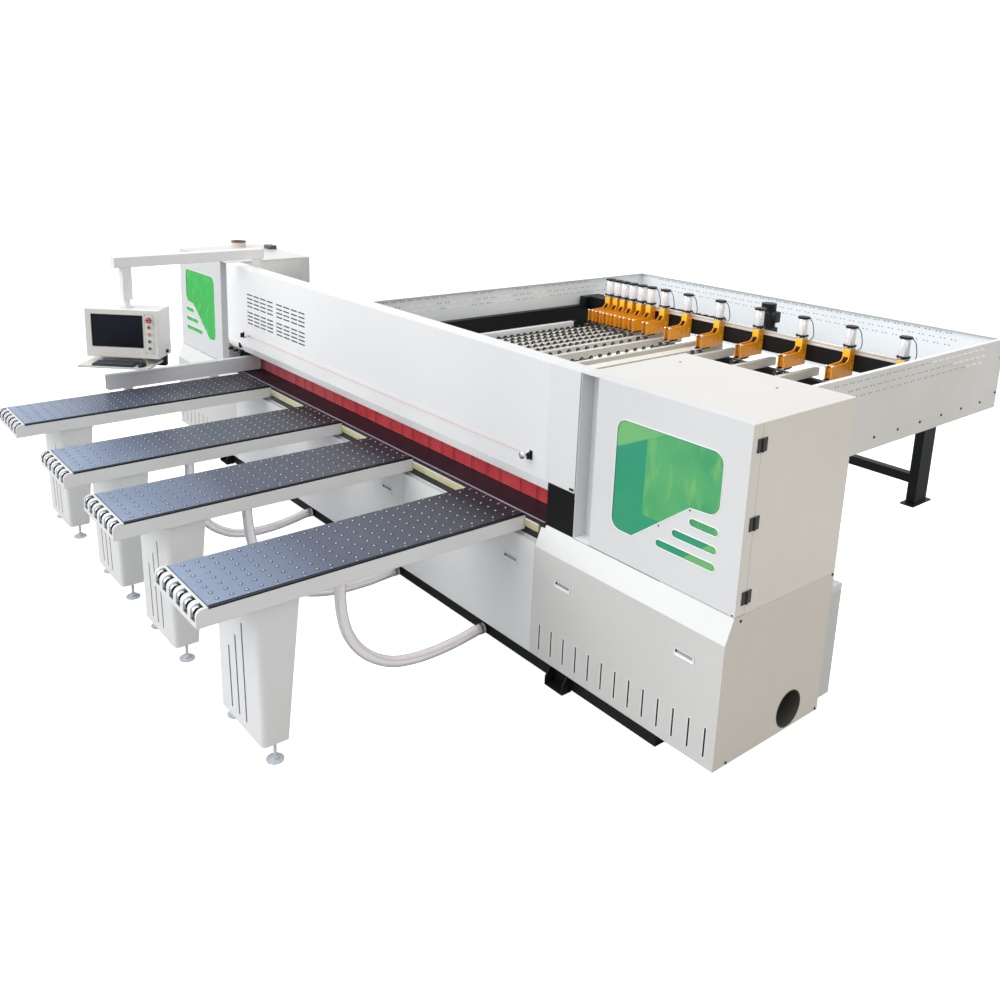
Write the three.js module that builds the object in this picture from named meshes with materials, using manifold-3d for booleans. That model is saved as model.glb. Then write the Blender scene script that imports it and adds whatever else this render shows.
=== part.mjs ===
// A beam saw, also called a CNC panel saw: a travelling saw under a pressure beam, four air tables
// in front, and a rear table where a pusher with grippers feeds the boards. Millimetres, +Z up.
// +X runs along the beam, the operator stands on the -Y side, and the floor is Z = 0.
import * as THREE from 'three';
import { mergeVertices } from 'three/addons/utils/BufferGeometryUtils.js';
import Module from 'manifold-3d';

const wasm = await Module();
wasm.setup();

// Driving dimensions
const workHeight = 960;
const machineHalfWidth = 3305;
const frontReach = 1995;
const rearReach = 5650;
const faceY = (frontReach - rearReach) / 2;
const fit = 0.3;
const bite = 1;
const overrun = 6;
const plate = 3;

// Heights written from the table's face, as heights above the floor
function fromTable(heights) {
  return Object.fromEntries(Object.entries(heights).map(([name, rise]) => [name, workHeight + rise]));
}

// Finishes
const finish = (color, roughness, metalness = 0) =>
  new THREE.MeshStandardMaterial({ color, roughness, metalness });
const whitePaint = finish(0xe6e8ea, 0.4);
const creamPaint = finish(0xe0ded4, 0.45);
const blackPaint = finish(0x1c1e1f, 0.45);
const greyPaint = finish(0xb5babb, 0.45);
const amberPaint = finish(0xf0a01c, 0.4);
const airTop = finish(0x3d4657, 0.35);
const polishedTop = finish(0x241c26, 0.2);
const bareSteel = finish(0x9a9c9e, 0.35, 0.9);
const redRubber = finish(0xc8383f, 0.55);
const tintedSheet = finish(0x3fc268, 0.15);
const clearHose = finish(0xdcd9e6, 0.3);
const redPlastic = finish(0xc81e24, 0.35);
const amberPlastic = finish(0xf09a1a, 0.35);
const greenPlastic = finish(0x1f9a5a, 0.35);

// Shapes: boxes from corner to corner, outlines pushed along an axis, and round bars
const low = Math.min;
const high = Math.max;

function block(x0, x1, y0, y1, z0, z1) {
  const shape = new THREE.BoxGeometry(Math.abs(x1 - x0), Math.abs(y1 - y0), Math.abs(z1 - z0));
  return shape.translate((x0 + x1) / 2, (y0 + y1) / 2, (z0 + z1) / 2);
}

function outline(corners) {
  const shape = new THREE.Shape();
  corners.forEach(([a, b], i) => (i === 0 ? shape.moveTo(a, b) : shape.lineTo(a, b)));
  shape.closePath();
  return shape;
}

const unit = (x, y, z) => new THREE.Vector3(x, y, z);
const towardX = new THREE.Matrix4().makeBasis(unit(0, 1, 0), unit(0, 0, 1), unit(1, 0, 0));
const towardBack = new THREE.Matrix4().makeBasis(unit(1, 0, 0), unit(0, 0, 1), unit(0, -1, 0));

// An outline of [y, z] corners, pushed from x0 to x1
function alongX(corners, x0, x1, curveSegments = 4) {
  const shape = corners instanceof THREE.Shape ? corners : outline(corners);
  const solid = new THREE.ExtrudeGeometry(shape, {
    depth: Math.abs(x1 - x0), bevelEnabled: false, curveSegments,
  });
  return solid.applyMatrix4(towardX).translate(low(x0, x1), 0, 0);
}

// An outline of [x, z] corners, pushed from y0 to y1
function alongY(corners, y0, y1, curveSegments = 4) {
  const shape = corners instanceof THREE.Shape ? corners : outline(corners);
  const solid = new THREE.ExtrudeGeometry(shape, {
    depth: Math.abs(y1 - y0), bevelEnabled: false, curveSegments,
  });
  return solid.applyMatrix4(towardBack).translate(0, high(y0, y1), 0);
}

// A round bar of a given radius, centred on a point, along one axis
function bar(axis, radius, length, [x, y, z], sides = 16) {
  const shape = new THREE.CylinderGeometry(radius, radius, length, sides);
  if (axis === 'x') shape.rotateZ(Math.PI / 2);
  if (axis === 'z') shape.rotateX(Math.PI / 2);
  return shape.translate(x, y, z);
}

// Corners given as [a, b, radius] become a closed outline with rounded corners
function roundedOutline(corners) {
  const shape = new THREE.Shape();
  const count = corners.length;
  const toward = (from, to, distance) => {
    const length = Math.hypot(to[0] - from[0], to[1] - from[1]);
    return from.slice(0, 2).map((value, i) => value + ((to[i] - value) * distance) / length);
  };
  corners.forEach((corner, i) => {
    const before = corners[(i + count - 1) % count];
    const after = corners[(i + 1) % count];
    const start = toward(corner, before, corner[2]);
    const end = toward(corner, after, corner[2]);
    if (i === 0) shape.moveTo(...start);
    else shape.lineTo(...start);
    shape.quadraticCurveTo(corner[0], corner[1], ...end);
  });
  shape.closePath();
  return shape;
}

// Solids joined and cut
function toSolid(shape) {
  if (!shape.isBufferGeometry) return shape;
  const bare = new THREE.BufferGeometry();
  bare.setAttribute('position', shape.getAttribute('position'));
  if (shape.index) bare.setIndex(shape.index);
  const merged = mergeVertices(bare);
  return new wasm.Manifold(new wasm.Mesh({
    numProp: 3,
    vertProperties: new Float32Array(merged.getAttribute('position').array),
    triVerts: new Uint32Array(merged.index.array),
  }));
}

function join(...shapes) {
  return shapes.flat().map(toSolid).reduce((sum, next) => sum.add(next));
}

function cut(body, ...tools) {
  return tools.flat().map(toSolid).reduce((left, tool) => left.subtract(tool), toSolid(body));
}

function toGeometry(shape) {
  if (shape.isBufferGeometry) return shape;
  const mesh = shape.getMesh();
  const geometry = new THREE.BufferGeometry();
  geometry.setAttribute('position', new THREE.BufferAttribute(new Float32Array(mesh.vertProperties), 3));
  geometry.setIndex(new THREE.BufferAttribute(new Uint32Array(mesh.triVerts), 1));
  geometry.computeVertexNormals();
  return geometry;
}

const machine = new THREE.Group();

function piece(name, shape, material, parent = machine) {
  const mesh = new THREE.Mesh(toGeometry(shape), material);
  mesh.name = name;
  parent.add(mesh);
  return mesh;
}

// Guard cabinets at both ends of the beam, with a door and a tinted window each
const guard = {
  width: 1075, depth: 831, height: 940, wall: 4, recessWidth: 125, recessDepth: 90, beamSlotInset: 110,
  ...fromTable({ bottom: -12, beamSlotTop: 785 }),
};
const door = { depth: 72, sheet: 3, gap: 2 };
const hinge = { heightShares: [0.094, 0.487, 0.889], height: 66, pinRadius: 6, leaf: 5, reach: 34 };
const pane = {
  thickness: 4, lap: 22, inner: 148, outer: 813, top: 764, kneeHeight: 452, kneeX: 643, kneeDrop: 12,
  footX: 292, foot: 166, corner: 62, smallCorner: 8,
};
const doorSlot = { height: 42, right: 817, lefts: [644, 546, 451], heights: [373, 281, 194] };
const dustCollar = { radius: 72, wall: 4, height: 57, insetX: 120, insetY: 270, sides: 20 };

const guardTop = guard.bottom + guard.height;
const guardInnerX = machineHalfWidth - guard.width;
const guardRearY = faceY + guard.depth;
const doorInnerX = guardInnerX + guard.recessWidth;
const doorBottom = guard.bottom + door.gap;
const hingeX = machineHalfWidth + fit + hinge.pinRadius;
const hingeY = faceY + door.depth;
const hingeHeights = hinge.heightShares.map((share) => guard.bottom + share * guard.height);

function guardBox(side) {
  const seamY = hingeY + fit;
  const inner = guardInnerX + guard.wall;
  const outer = machineHalfWidth - guard.wall;
  const recessBack = faceY + guard.recessDepth;
  const stripEdge = doorInnerX - door.gap;
  const top = guardTop - guard.wall;
  const shell = join(
    block(side * guardInnerX, side * machineHalfWidth, seamY, guardRearY, guard.bottom, guardTop),
    block(side * guardInnerX, side * stripEdge, faceY, seamY + bite, guard.bottom, guardTop),
  );
  const hollow = [
    block(side * inner, side * outer, recessBack + guard.wall, guardRearY - guard.wall,
      guard.bottom - overrun, top),
    block(side * doorInnerX, side * outer, faceY - overrun, recessBack + guard.wall + overrun,
      guard.bottom - overrun, top),
    block(side * inner, side * (doorInnerX + overrun), faceY - overrun, recessBack,
      guard.bottom - overrun, top),
    block(side * (guardInnerX - overrun), side * (inner + overrun), faceY + guard.beamSlotInset,
      guardRearY - guard.beamSlotInset, guard.bottom - overrun, guard.beamSlotTop),
  ];
  const leaves = hingeHeights.map((z) => join(
    bar('z', hinge.pinRadius, hinge.height, [side * hingeX, hingeY, z], 10),
    block(side * (machineHalfWidth - bite), side * (machineHalfWidth + hinge.leaf), seamY,
      seamY + hinge.reach, z - hinge.height / 2, z + hinge.height / 2),
  ));
  const parts = [cut(shell, hollow), ...leaves];
  if (side < 0) {
    const at = [side * (machineHalfWidth - dustCollar.insetX), guardRearY - dustCollar.insetY,
      guardTop + dustCollar.height / 2 - bite];
    const bore = dustCollar.radius - dustCollar.wall;
    const collar = bar('z', dustCollar.radius, dustCollar.height, at, dustCollar.sides);
    return cut(join(...parts, collar), bar('z', bore, dustCollar.height * 3, at, dustCollar.sides));
  }
  return join(...parts);
}

// The window's outline in the door's own plane, measured from the door's inner, lower corner
function paneOutline(side) {
  const at = (u, v, radius) => [side * (doorInnerX + u), doorBottom + v, radius];
  return roundedOutline([
    at(pane.inner, pane.top, pane.corner),
    at(pane.outer, pane.top, pane.corner),
    at(pane.outer, pane.kneeHeight, pane.corner),
    at(pane.kneeX, pane.kneeHeight - pane.kneeDrop, pane.smallCorner),
    at(pane.footX, pane.foot, pane.smallCorner),
    at(pane.inner, pane.foot, pane.corner),
  ]);
}

function doorPanel(side) {
  const outer = block(side * doorInnerX, side * machineHalfWidth, faceY, hingeY, doorBottom, guardTop);
  const pan = block(side * (doorInnerX + door.sheet), side * (machineHalfWidth - door.sheet),
    faceY + door.sheet, hingeY + overrun, doorBottom + door.sheet, guardTop - door.sheet);
  const openings = [alongY(paneOutline(side), faceY - overrun, faceY + door.sheet + overrun)];
  doorSlot.lefts.forEach((left, i) => {
    const z = doorBottom + doorSlot.heights[i];
    const round = doorSlot.height / 2;
    const slot = roundedOutline([
      [side * (doorInnerX + left), z - round, round * 0.9],
      [side * (doorInnerX + doorSlot.right), z - round, round * 0.9],
      [side * (doorInnerX + doorSlot.right), z + round, round * 0.9],
      [side * (doorInnerX + left), z + round, round * 0.9],
    ]);
    openings.push(alongY(slot, faceY - overrun, faceY + door.sheet + overrun, 2));
  });
  const leafEnd = hingeY - hinge.pinRadius - 2 * fit;
  const leaves = hingeHeights.map((z) => block(side * (machineHalfWidth - bite),
    side * (machineHalfWidth + hinge.leaf), leafEnd - hinge.reach + hinge.pinRadius, leafEnd,
    z - hinge.height / 2, z + hinge.height / 2));
  return join(cut(outer, pan, openings), leaves);
}

function windowSheet(side) {
  const back = faceY + door.sheet + fit;
  return block(side * (doorInnerX + pane.inner - pane.lap), side * (doorInnerX + doorSlot.right + pane.lap),
    back, back + pane.thickness, doorBottom + pane.foot - pane.lap, doorBottom + pane.top + pane.lap);
}

for (const [side, name] of [[1, 'right'], [-1, 'left']]) {
  piece(`${name}_guard_box`, guardBox(side), whitePaint);
  piece(`${name}_door`, doorPanel(side), whitePaint);
  piece(`${name}_window`, windowSheet(side), tintedSheet);
}

// The base: a welded bed on black sled beams, closed by sheet covers, with the saw table on top
const base = { overhang: 52, bottom: 149, seamInset: 245, wall: 3, ...fromTable({ chamferBottom: -139 }) };
const sled = { endInset: 385, bottom: 47, width: 100, insetY: 40, rearY: 640, wall: 8 };
const pad = {
  radius: 45, height: 12, stud: 16, sides: 12, frontInset: 260, rearInset: 45,
  xShares: [-0.9, -0.3, 0.3, 0.9],
};
const forkPocket = { width: 145, reach: 72, bottom: 38, lipTop: 90, slope: 37, wall: 8, seamOffset: 170 };
const bed = { endInset: 355, frontInset: 20, depth: 740, wall: 12, ...fromTable({ top: -30 }) };
const blade = { planeInset: 320, radius: 190, thickness: 4.4, parkInset: 655, boreRadius: 20 };
const sawTable = {
  thickness: 30, plate: 12, rim: 12, endGap: 5, lip: 12, slotWidth: 8, slotInset: 75, rearOver: 20,
};
const endPlate = { width: 208, endGap: 8, seat: 40, ...fromTable({ top: 243 }) };
const vent = { count: 13, width: 12, height: 163, bottom: 197, first: 73, last: 1257 };
const pull = { width: 118, height: 36, depth: 2, insets: [238, 1094], ...fromTable({ z: -296 }) };
const dustPort = { radius: 102, centreInset: 549, z: 262, sides: 24 };
const duct = { width: 300, bottom: 206, depth: 108, inset: 8, frame: 20, ...fromTable({ top: -107 }) };

const coverFrontY = faceY - base.overhang;
const coverTop = guard.bottom - fit;
const bladeY = faceY + blade.planeInset;
const bedFrontY = faceY + bed.frontInset;
const bedRearY = bedFrontY + bed.depth;
const bedBottom = base.bottom + fit;
const coverSeamX = guardInnerX - base.seamInset;
const sledEndX = machineHalfWidth - sled.endInset;
const bedEndX = machineHalfWidth - bed.endInset;
const tableEndX = guardInnerX - sawTable.endGap;
const coverEndX = guardInnerX - endPlate.endGap;
const endPlateX = coverEndX - endPlate.width;

function coverProfile(inset, extraDown, extraUp) {
  return [
    [coverFrontY + inset, base.bottom + extraDown],
    [coverFrontY + inset, base.chamferBottom],
    [faceY + inset, coverTop],
    [faceY + inset, coverTop + extraUp],
    [guardRearY - inset, coverTop + extraUp],
    [guardRearY - inset, base.bottom + extraDown],
  ];
}

function baseCover(side) {
  const seam = coverSeamX + fit;
  const outerWall = side * (machineHalfWidth - base.wall);
  const shell = cut(
    alongX(coverProfile(0, 0, 0), side * seam, side * machineHalfWidth),
    alongX(coverProfile(base.wall, -overrun, overrun), side * (seam - overrun), outerWall),
  );
  const pitch = (vent.last - vent.first) / (vent.count - 1);
  const slots = [];
  for (let i = 0; i < vent.count; i += 1) {
    const x = side * (coverSeamX + vent.first + i * pitch);
    slots.push(block(x - vent.width / 2, x + vent.width / 2, coverFrontY - overrun,
      coverFrontY + base.wall + overrun, vent.bottom, vent.bottom + vent.height));
  }
  const pockets = pull.insets.map((inset) => {
    const x = side * (coverSeamX + inset);
    return block(x - pull.width / 2, x + pull.width / 2, coverFrontY - overrun, coverFrontY + pull.depth,
      pull.z - pull.height / 2, pull.z + pull.height / 2);
  });
  const port = bar('x', dustPort.radius, 4 * overrun,
    [side * machineHalfWidth, faceY + dustPort.centreInset, dustPort.z], dustPort.sides);
  const ductOuter = side * (machineHalfWidth - duct.inset);
  const ductInner = side * (machineHalfWidth - duct.inset - duct.width);
  const rearDuct = cut(
    block(ductInner, ductOuter, guardRearY - bite, guardRearY + duct.depth, duct.bottom, duct.top),
    block(ductInner + side * duct.frame, ductOuter - side * duct.frame, guardRearY - bite - overrun,
      guardRearY + duct.depth - duct.frame, duct.bottom - overrun, duct.top - duct.frame),
  );
  const tableEdge = side > 0 ? endPlateX + fit : -guardInnerX;
  const notch = block(side * (seam - overrun), tableEdge, coverFrontY - overrun, bedFrontY,
    workHeight - sawTable.thickness - fit, guard.bottom);
  return join(cut(shell, slots, pockets, port, notch), rearDuct);
}

piece('right_base_cover', baseCover(1), whitePaint);
piece('left_base_cover', baseCover(-1), whitePaint);

// The centre panels hang under a ledge, with a dark sloped apron above it up to the saw table
const panels = {
  count: 3, seamWidth: 3, seamDepth: 1.5, ledgeRise: 16, ledgeDepth: 40, ledge: 3, pullInset: 205,
};

function frontPanels() {
  const half = coverSeamX - fit;
  const top = base.chamferBottom + panels.ledgeRise;
  const apronRear = bedFrontY - fit;
  const ledgeRear = coverFrontY + panels.ledgeDepth;
  const sheetBody = join(
    block(-half, half, coverFrontY, coverFrontY + base.wall, base.bottom, top),
    block(-half, half, coverFrontY, apronRear, top - panels.ledge, top),
    alongX([
      [ledgeRear, top - bite], [apronRear - panels.ledge, bed.top - bite], [apronRear, bed.top - bite],
      [apronRear, top - bite],
    ], -half, half),
  );
  const pitch = (2 * half) / panels.count;
  const grooves = [];
  for (let i = 1; i < panels.count; i += 1) {
    const x = -half + i * pitch;
    grooves.push(block(x, x + panels.seamWidth, coverFrontY - overrun, coverFrontY + panels.seamDepth,
      base.bottom - overrun, top + overrun));
  }
  for (let i = 0; i < panels.count; i += 1) {
    const x = -half + (i + 1) * pitch - panels.pullInset;
    grooves.push(block(x - pull.width / 2, x + pull.width / 2, coverFrontY - overrun,
      coverFrontY + pull.depth, pull.z - pull.height / 2, pull.z + pull.height / 2));
  }
  return cut(sheetBody, grooves);
}

piece('front_panels', frontPanels(), whitePaint);

// Sled beams with levelling feet, fork pockets at the front, and a hose port for each right table
const hosePort = { radius: 33, collar: 14, z: 80, placeShares: [-0.2057, 0.1694, 0.4605], sides: 12 };
const sledFrontY = coverFrontY + sled.insetY;
const portPlaces = hosePort.placeShares.map((share) => share * machineHalfWidth);

function baseFrame() {
  const top = base.bottom;
  const rearY = faceY + sled.rearY;
  const beams = [sledFrontY, rearY].map((y) =>
    block(-sledEndX, sledEndX, y, y + sled.width, sled.bottom, top));
  const ties = pad.xShares.map((share) => {
    const x = share * sledEndX;
    return block(x - sled.width / 2, x + sled.width / 2, sledFrontY + bite, rearY + bite, sled.bottom, top);
  });
  const padYs = [sledFrontY + pad.frontInset, rearY - pad.rearInset];
  const feet = pad.xShares.flatMap((share) => padYs.flatMap((y) => {
    const centre = (z) => [share * sledEndX, y, z];
    return [
      bar('z', pad.radius, pad.height, centre(pad.height / 2), pad.sides),
      bar('z', pad.stud, sled.bottom + bite, centre((sled.bottom + bite) / 2), pad.sides),
    ];
  }));
  const pockets = [-1, 1].map((side) => {
    const inner = side * (coverSeamX + forkPocket.seamOffset);
    const outer = inner + side * forkPocket.width;
    const front = sledFrontY - forkPocket.reach;
    const profile = [
      [sledFrontY + bite, top], [front + forkPocket.slope, top], [front, forkPocket.lipTop],
      [front, forkPocket.bottom], [sledFrontY + bite, forkPocket.bottom],
    ];
    return cut(
      alongX(profile, inner, outer),
      block(inner + side * forkPocket.wall, outer - side * forkPocket.wall, front - overrun,
        sledFrontY, forkPocket.bottom + forkPocket.wall, top + overrun),
    );
  });
  const hollows = [sledFrontY, rearY].map((y) => block(-sledEndX + sled.wall,
    sledEndX - sled.wall, y + sled.wall, y + sled.width - sled.wall, sled.bottom - overrun,
    top - sled.wall));
  const collars = portPlaces.map((x) => bar('y', hosePort.radius, hosePort.collar + bite,
    [x, sledFrontY - (hosePort.collar - bite) / 2, hosePort.z], hosePort.sides));
  return cut(join(beams, ties, feet, pockets, collars), hollows);
}

piece('base_frame', baseFrame(), blackPaint);

// The bed is a welded channel that holds the saw's runway, and carries the beam's columns at its ends
const runway = { height: 60, reach: 18, spacing: 260, ...fromTable({ z: -540 }) };
const column = { inset: 330, width: 250, depth: 200, foot: 30, ledge: 60 };
const columnFrontY = bedRearY - column.depth - column.foot;

function machineBed() {
  const floorTop = bedBottom + bed.wall;
  const channel = cut(
    block(-bedEndX, bedEndX, bedFrontY, bedRearY, bedBottom, bed.top - fit),
    block(-bedEndX - overrun, bedEndX + overrun, bedFrontY + bed.wall,
      bedRearY - bed.wall, floorTop, bed.top + overrun),
  );
  const inside = bedRearY - bed.wall;
  const rails = [0, 1].map((i) => block(-bedEndX, bedEndX, inside - runway.reach,
    inside + bite, runway.z + i * runway.spacing, runway.z + i * runway.spacing + runway.height));
  const ledges = [-1, 1].map((side) => block(side * (guardInnerX + column.inset - column.foot),
    side * (guardInnerX + column.inset + column.width), columnFrontY, inside + bite,
    bed.top - fit - column.ledge, bed.top - fit));
  return join(channel, rails, ledges);
}

piece('machine_bed', machineBed(), creamPaint);

// The saw table is a ground plate with the blade's slot, a rail along its front edge that carries the
// air tables, and a black end plate under the cover's right end
const tableRail = { endInset: 330, thickness: 8, ...fromTable({ bottom: -76 }) };

function sawTablePlate() {
  const bottom = workHeight - sawTable.thickness;
  const front = faceY - sawTable.lip;
  const slab = block(-tableEndX, endPlateX, front, bedRearY + sawTable.rearOver,
    bottom, workHeight);
  const stub = block(endPlateX - bite, tableEndX, faceY + endPlate.seat,
    bedRearY + sawTable.rearOver, bottom, workHeight);
  const slot = block(-tableEndX + sawTable.slotInset, tableEndX + overrun,
    bladeY - sawTable.slotWidth / 2, bladeY + sawTable.slotWidth / 2, bottom - overrun,
    workHeight + overrun);
  const wall = join(
    block(endPlateX, coverEndX, faceY, faceY + plate, guard.bottom, endPlate.top),
    block(endPlateX, coverEndX, faceY, faceY + endPlate.seat + bite, guard.bottom, workHeight),
  );
  const railEndX = guardInnerX - tableRail.endInset;
  const rail = block(-railEndX, railEndX, front, front + tableRail.thickness,
    tableRail.bottom, bottom + bite);
  const rimY = front + sawTable.rim;
  const rearEdge = bedRearY + sawTable.rearOver - sawTable.rim;
  const cells = [[rimY, bladeY - sawTable.rim], [bladeY + sawTable.rim, rearEdge]].map(([y0, y1]) =>
    block(-tableEndX + sawTable.rim, endPlateX - sawTable.rim, y0, y1, bottom - overrun,
      workHeight - sawTable.plate));
  return cut(join(slab, stub, wall, rail), slot, cells);
}

piece('saw_table', sawTablePlate(), polishedTop);

// The beam: a box beam on two columns, a sheet cover in front, and a pressure beam on guide rods
const beam = { front: 140, depth: 420, wall: 12, ...fromTable({ bottom: 370, top: 680 }) };
const beamCover = { lipInset: 55, depth: 130, sheet: 3, ...fromTable({ top: 925, fold: 380, lip: 243 }) };
const pressure = {
  front: 190, depth: 260, endGap: 50, groove: 40, grooveDepth: 110, wall: 10,
  ...fromTable({ bottom: 105, top: 280 }),
};
const rod = { size: 60, endInset: 680, ...fromTable({ top: 640 }) };
const strips = {
  leftInset: 282, rightGap: 4, inset: 177, thickness: 4, holderFront: 165, holderDepth: 20,
  gap: 2, lift: 1, widths: [198, 150, 130], ...fromTable({ holderBottom: 270 }),
};
const pressureEndX = guardInnerX - pressure.endGap;
const rodPlaces = [-1, 0, 1].map((side) => side * (pressureEndX - rod.endInset));

function beamFrame() {
  const front = faceY + beam.front;
  const rear = front + beam.depth;
  const columnInner = guardInnerX + column.inset;
  const columnOuter = columnInner + column.width;
  const hollow = block(-columnOuter - overrun, columnOuter + overrun, front + beam.wall, rear - beam.wall,
    beam.bottom + beam.wall, beam.top - beam.wall);
  const tube = cut(block(-columnOuter, columnOuter, front, rear, beam.bottom, beam.top), hollow);
  const columns = [-1, 1].map((side) => cut(
    block(side * columnInner, side * columnOuter, columnFrontY, columnFrontY + column.depth, bed.top,
      beam.top),
    block(side * (columnInner + beam.wall), side * (columnOuter - beam.wall), rear + bite,
      columnFrontY + column.depth - beam.wall, bed.top - overrun, beam.top - beam.wall),
  ));
  const holes = rodPlaces.map((x) => block(x - rod.size / 2 - fit, x + rod.size / 2 + fit,
    bladeY - rod.size / 2 - fit, bladeY + rod.size / 2 + fit, beam.bottom - overrun,
    beam.bottom + beam.wall + overrun));
  return cut(join(tube, columns), holes);
}

piece('beam_frame', beamFrame(), creamPaint);

function coverShell() {
  const { sheet, depth, top, fold, lip, lipInset } = beamCover;
  const rear = faceY + depth;
  const slopeFoot = faceY + lipInset;
  const left = cut(
    alongX([[faceY, fold], [faceY, top], [rear, top], [rear, lip + sheet], [slopeFoot, lip]],
      -coverEndX, endPlateX),
    alongX([
      [faceY + sheet, fold + sheet], [faceY + sheet, top - sheet], [rear - sheet, top - sheet],
      [rear - sheet, lip - overrun], [slopeFoot + sheet, lip - overrun], [slopeFoot + sheet, lip + sheet],
    ], -coverEndX + sheet, endPlateX + overrun),
  );
  const right = cut(
    block(endPlateX - sheet, coverEndX, faceY, rear, endPlate.top + fit, top),
    block(endPlateX - sheet - overrun, coverEndX - sheet, faceY + sheet, rear - sheet,
      endPlate.top - overrun, top - sheet),
  );
  return join(left, right);
}

piece('beam_cover', coverShell(), whitePaint);

function pressureBeam() {
  const front = faceY + pressure.front;
  const rear = front + pressure.depth;
  const end = pressureEndX + overrun;
  const grooveHalf = pressure.groove / 2;
  const wall = pressure.wall;
  const cells = [[front + wall, bladeY - grooveHalf - wall], [bladeY + grooveHalf + wall, rear - wall]];
  const body = cut(
    block(-pressureEndX, pressureEndX, front, rear, pressure.bottom, pressure.top),
    block(-end, end, bladeY - grooveHalf, bladeY + grooveHalf, pressure.bottom - overrun,
      pressure.bottom + pressure.grooveDepth),
    cells.map(([y0, y1]) => block(-end, end, y0, y1, pressure.bottom + wall, pressure.top - wall)),
  );
  const rods = rodPlaces.map((x) => block(x - rod.size / 2, x + rod.size / 2, bladeY - rod.size / 2,
    bladeY + rod.size / 2, pressure.top - bite, rod.top));
  return join(body, rods);
}

piece('pressure_beam', pressureBeam(), greyPaint);

function dustStrips() {
  const front = faceY + strips.holderFront;
  const left = strips.leftInset - guardInnerX;
  const right = endPlateX - strips.rightGap;
  const holder = block(left, right, front, front + strips.holderDepth, strips.holderBottom,
    beam.bottom - fit);
  const skirtY = faceY + strips.inset;
  const skirt = block(left, right, skirtY, skirtY + strips.thickness,
    workHeight + strips.lift, strips.holderBottom + bite);
  const slits = [];
  let x = left;
  for (let i = 0; x < right - strips.widths[0]; i += 1) {
    x += strips.widths[i % strips.widths.length];
    slits.push(block(x, x + strips.gap, front - overrun, front + strips.holderDepth + overrun,
      workHeight - overrun, strips.holderBottom - strips.gap));
  }
  return cut(join(holder, skirt), slits);
}

piece('dust_strips', dustStrips(), redRubber);

// Four air tables: a sheet frame on a box leg at the front, a drilled black top, and end rollers
const table = {
  width: 522, rearGap: 0.3, wall: 4, topSheet: 7, capLength: 60,
  nose: 34, notchCount: 6, notchWidth: 50, notchDepth: 46, notchHeight: 66,
  centreShares: [-0.4956, -0.1443, 0.1362, 0.4811], ...fromTable({ bottom: -92 }),
};
const tableTop = { thickness: 12, margin: 8 };
const leg = {
  rightInset: 21, leftInset: 3, taper: 26, front: 297, lean: 22, topDepth: 236, bottomDepth: 143, bottom: 95,
  wall: 4, corner: 30, steps: 4,
};
const legSlot = { width: 15, bottom: 150, rises: [361, 460, 566], places: [345, 259, 174] };
const legFoot = { radius: 46, height: 6, hub: 20, hubHeight: 24, stud: 8, sides: 16, inset: 17, back: 96 };
const riser = { radius: 33, collar: 44, inset: 903, sides: 12 };

const tableFrontY = faceY - frontReach;
const tableRearY = faceY - sawTable.lip - table.rearGap;
const tableTopSeat = workHeight - tableTop.thickness;
const topFrontY = tableFrontY + table.capLength;
const legFrontY = tableFrontY + leg.front;

// The leg's plan at one height: a rectangle with round front corners, as a ring of [x, y] corners
function legPlan(left, right, front, rear, radius) {
  const ring = [];
  [[left + radius, Math.PI], [right - radius, 1.5 * Math.PI]].forEach(([x, start]) => {
    for (let i = 0; i <= leg.steps; i += 1) {
      const angle = start + (i / leg.steps) * (Math.PI / 2);
      ring.push([x + radius * Math.cos(angle), front + radius + radius * Math.sin(angle)]);
    }
  });
  return [...ring, [right, rear], [left, rear]];
}

// The leg leans forwards to its top, where it is deeper and a little narrower than at its foot
function legShell(left, right, bottom, top, inset) {
  const height = table.bottom - leg.bottom;
  const rings = [bottom, top].map((z) => {
    const share = (z - leg.bottom) / height;
    const front = legFrontY + leg.lean * (1 - share);
    const depth = leg.bottomDepth + share * (leg.topDepth - leg.bottomDepth);
    const plan = legPlan(left + leg.taper * share + inset, right - inset, front + inset,
      front + depth - inset, leg.corner - inset);
    return plan.map(([x, y]) => [x, y, z]);
  });
  const count = rings[0].length;
  const faces = [];
  for (let i = 0; i < count; i += 1) {
    const next = (i + 1) % count;
    faces.push(i, next, count + next, i, count + next, count + i);
    if (i > 1) faces.push(0, i, i - 1, count, count + i - 1, count + i);
  }
  const shell = new THREE.BufferGeometry();
  shell.setAttribute('position', new THREE.Float32BufferAttribute(rings.flat(2), 3));
  shell.setIndex(faces);
  return shell;
}

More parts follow.
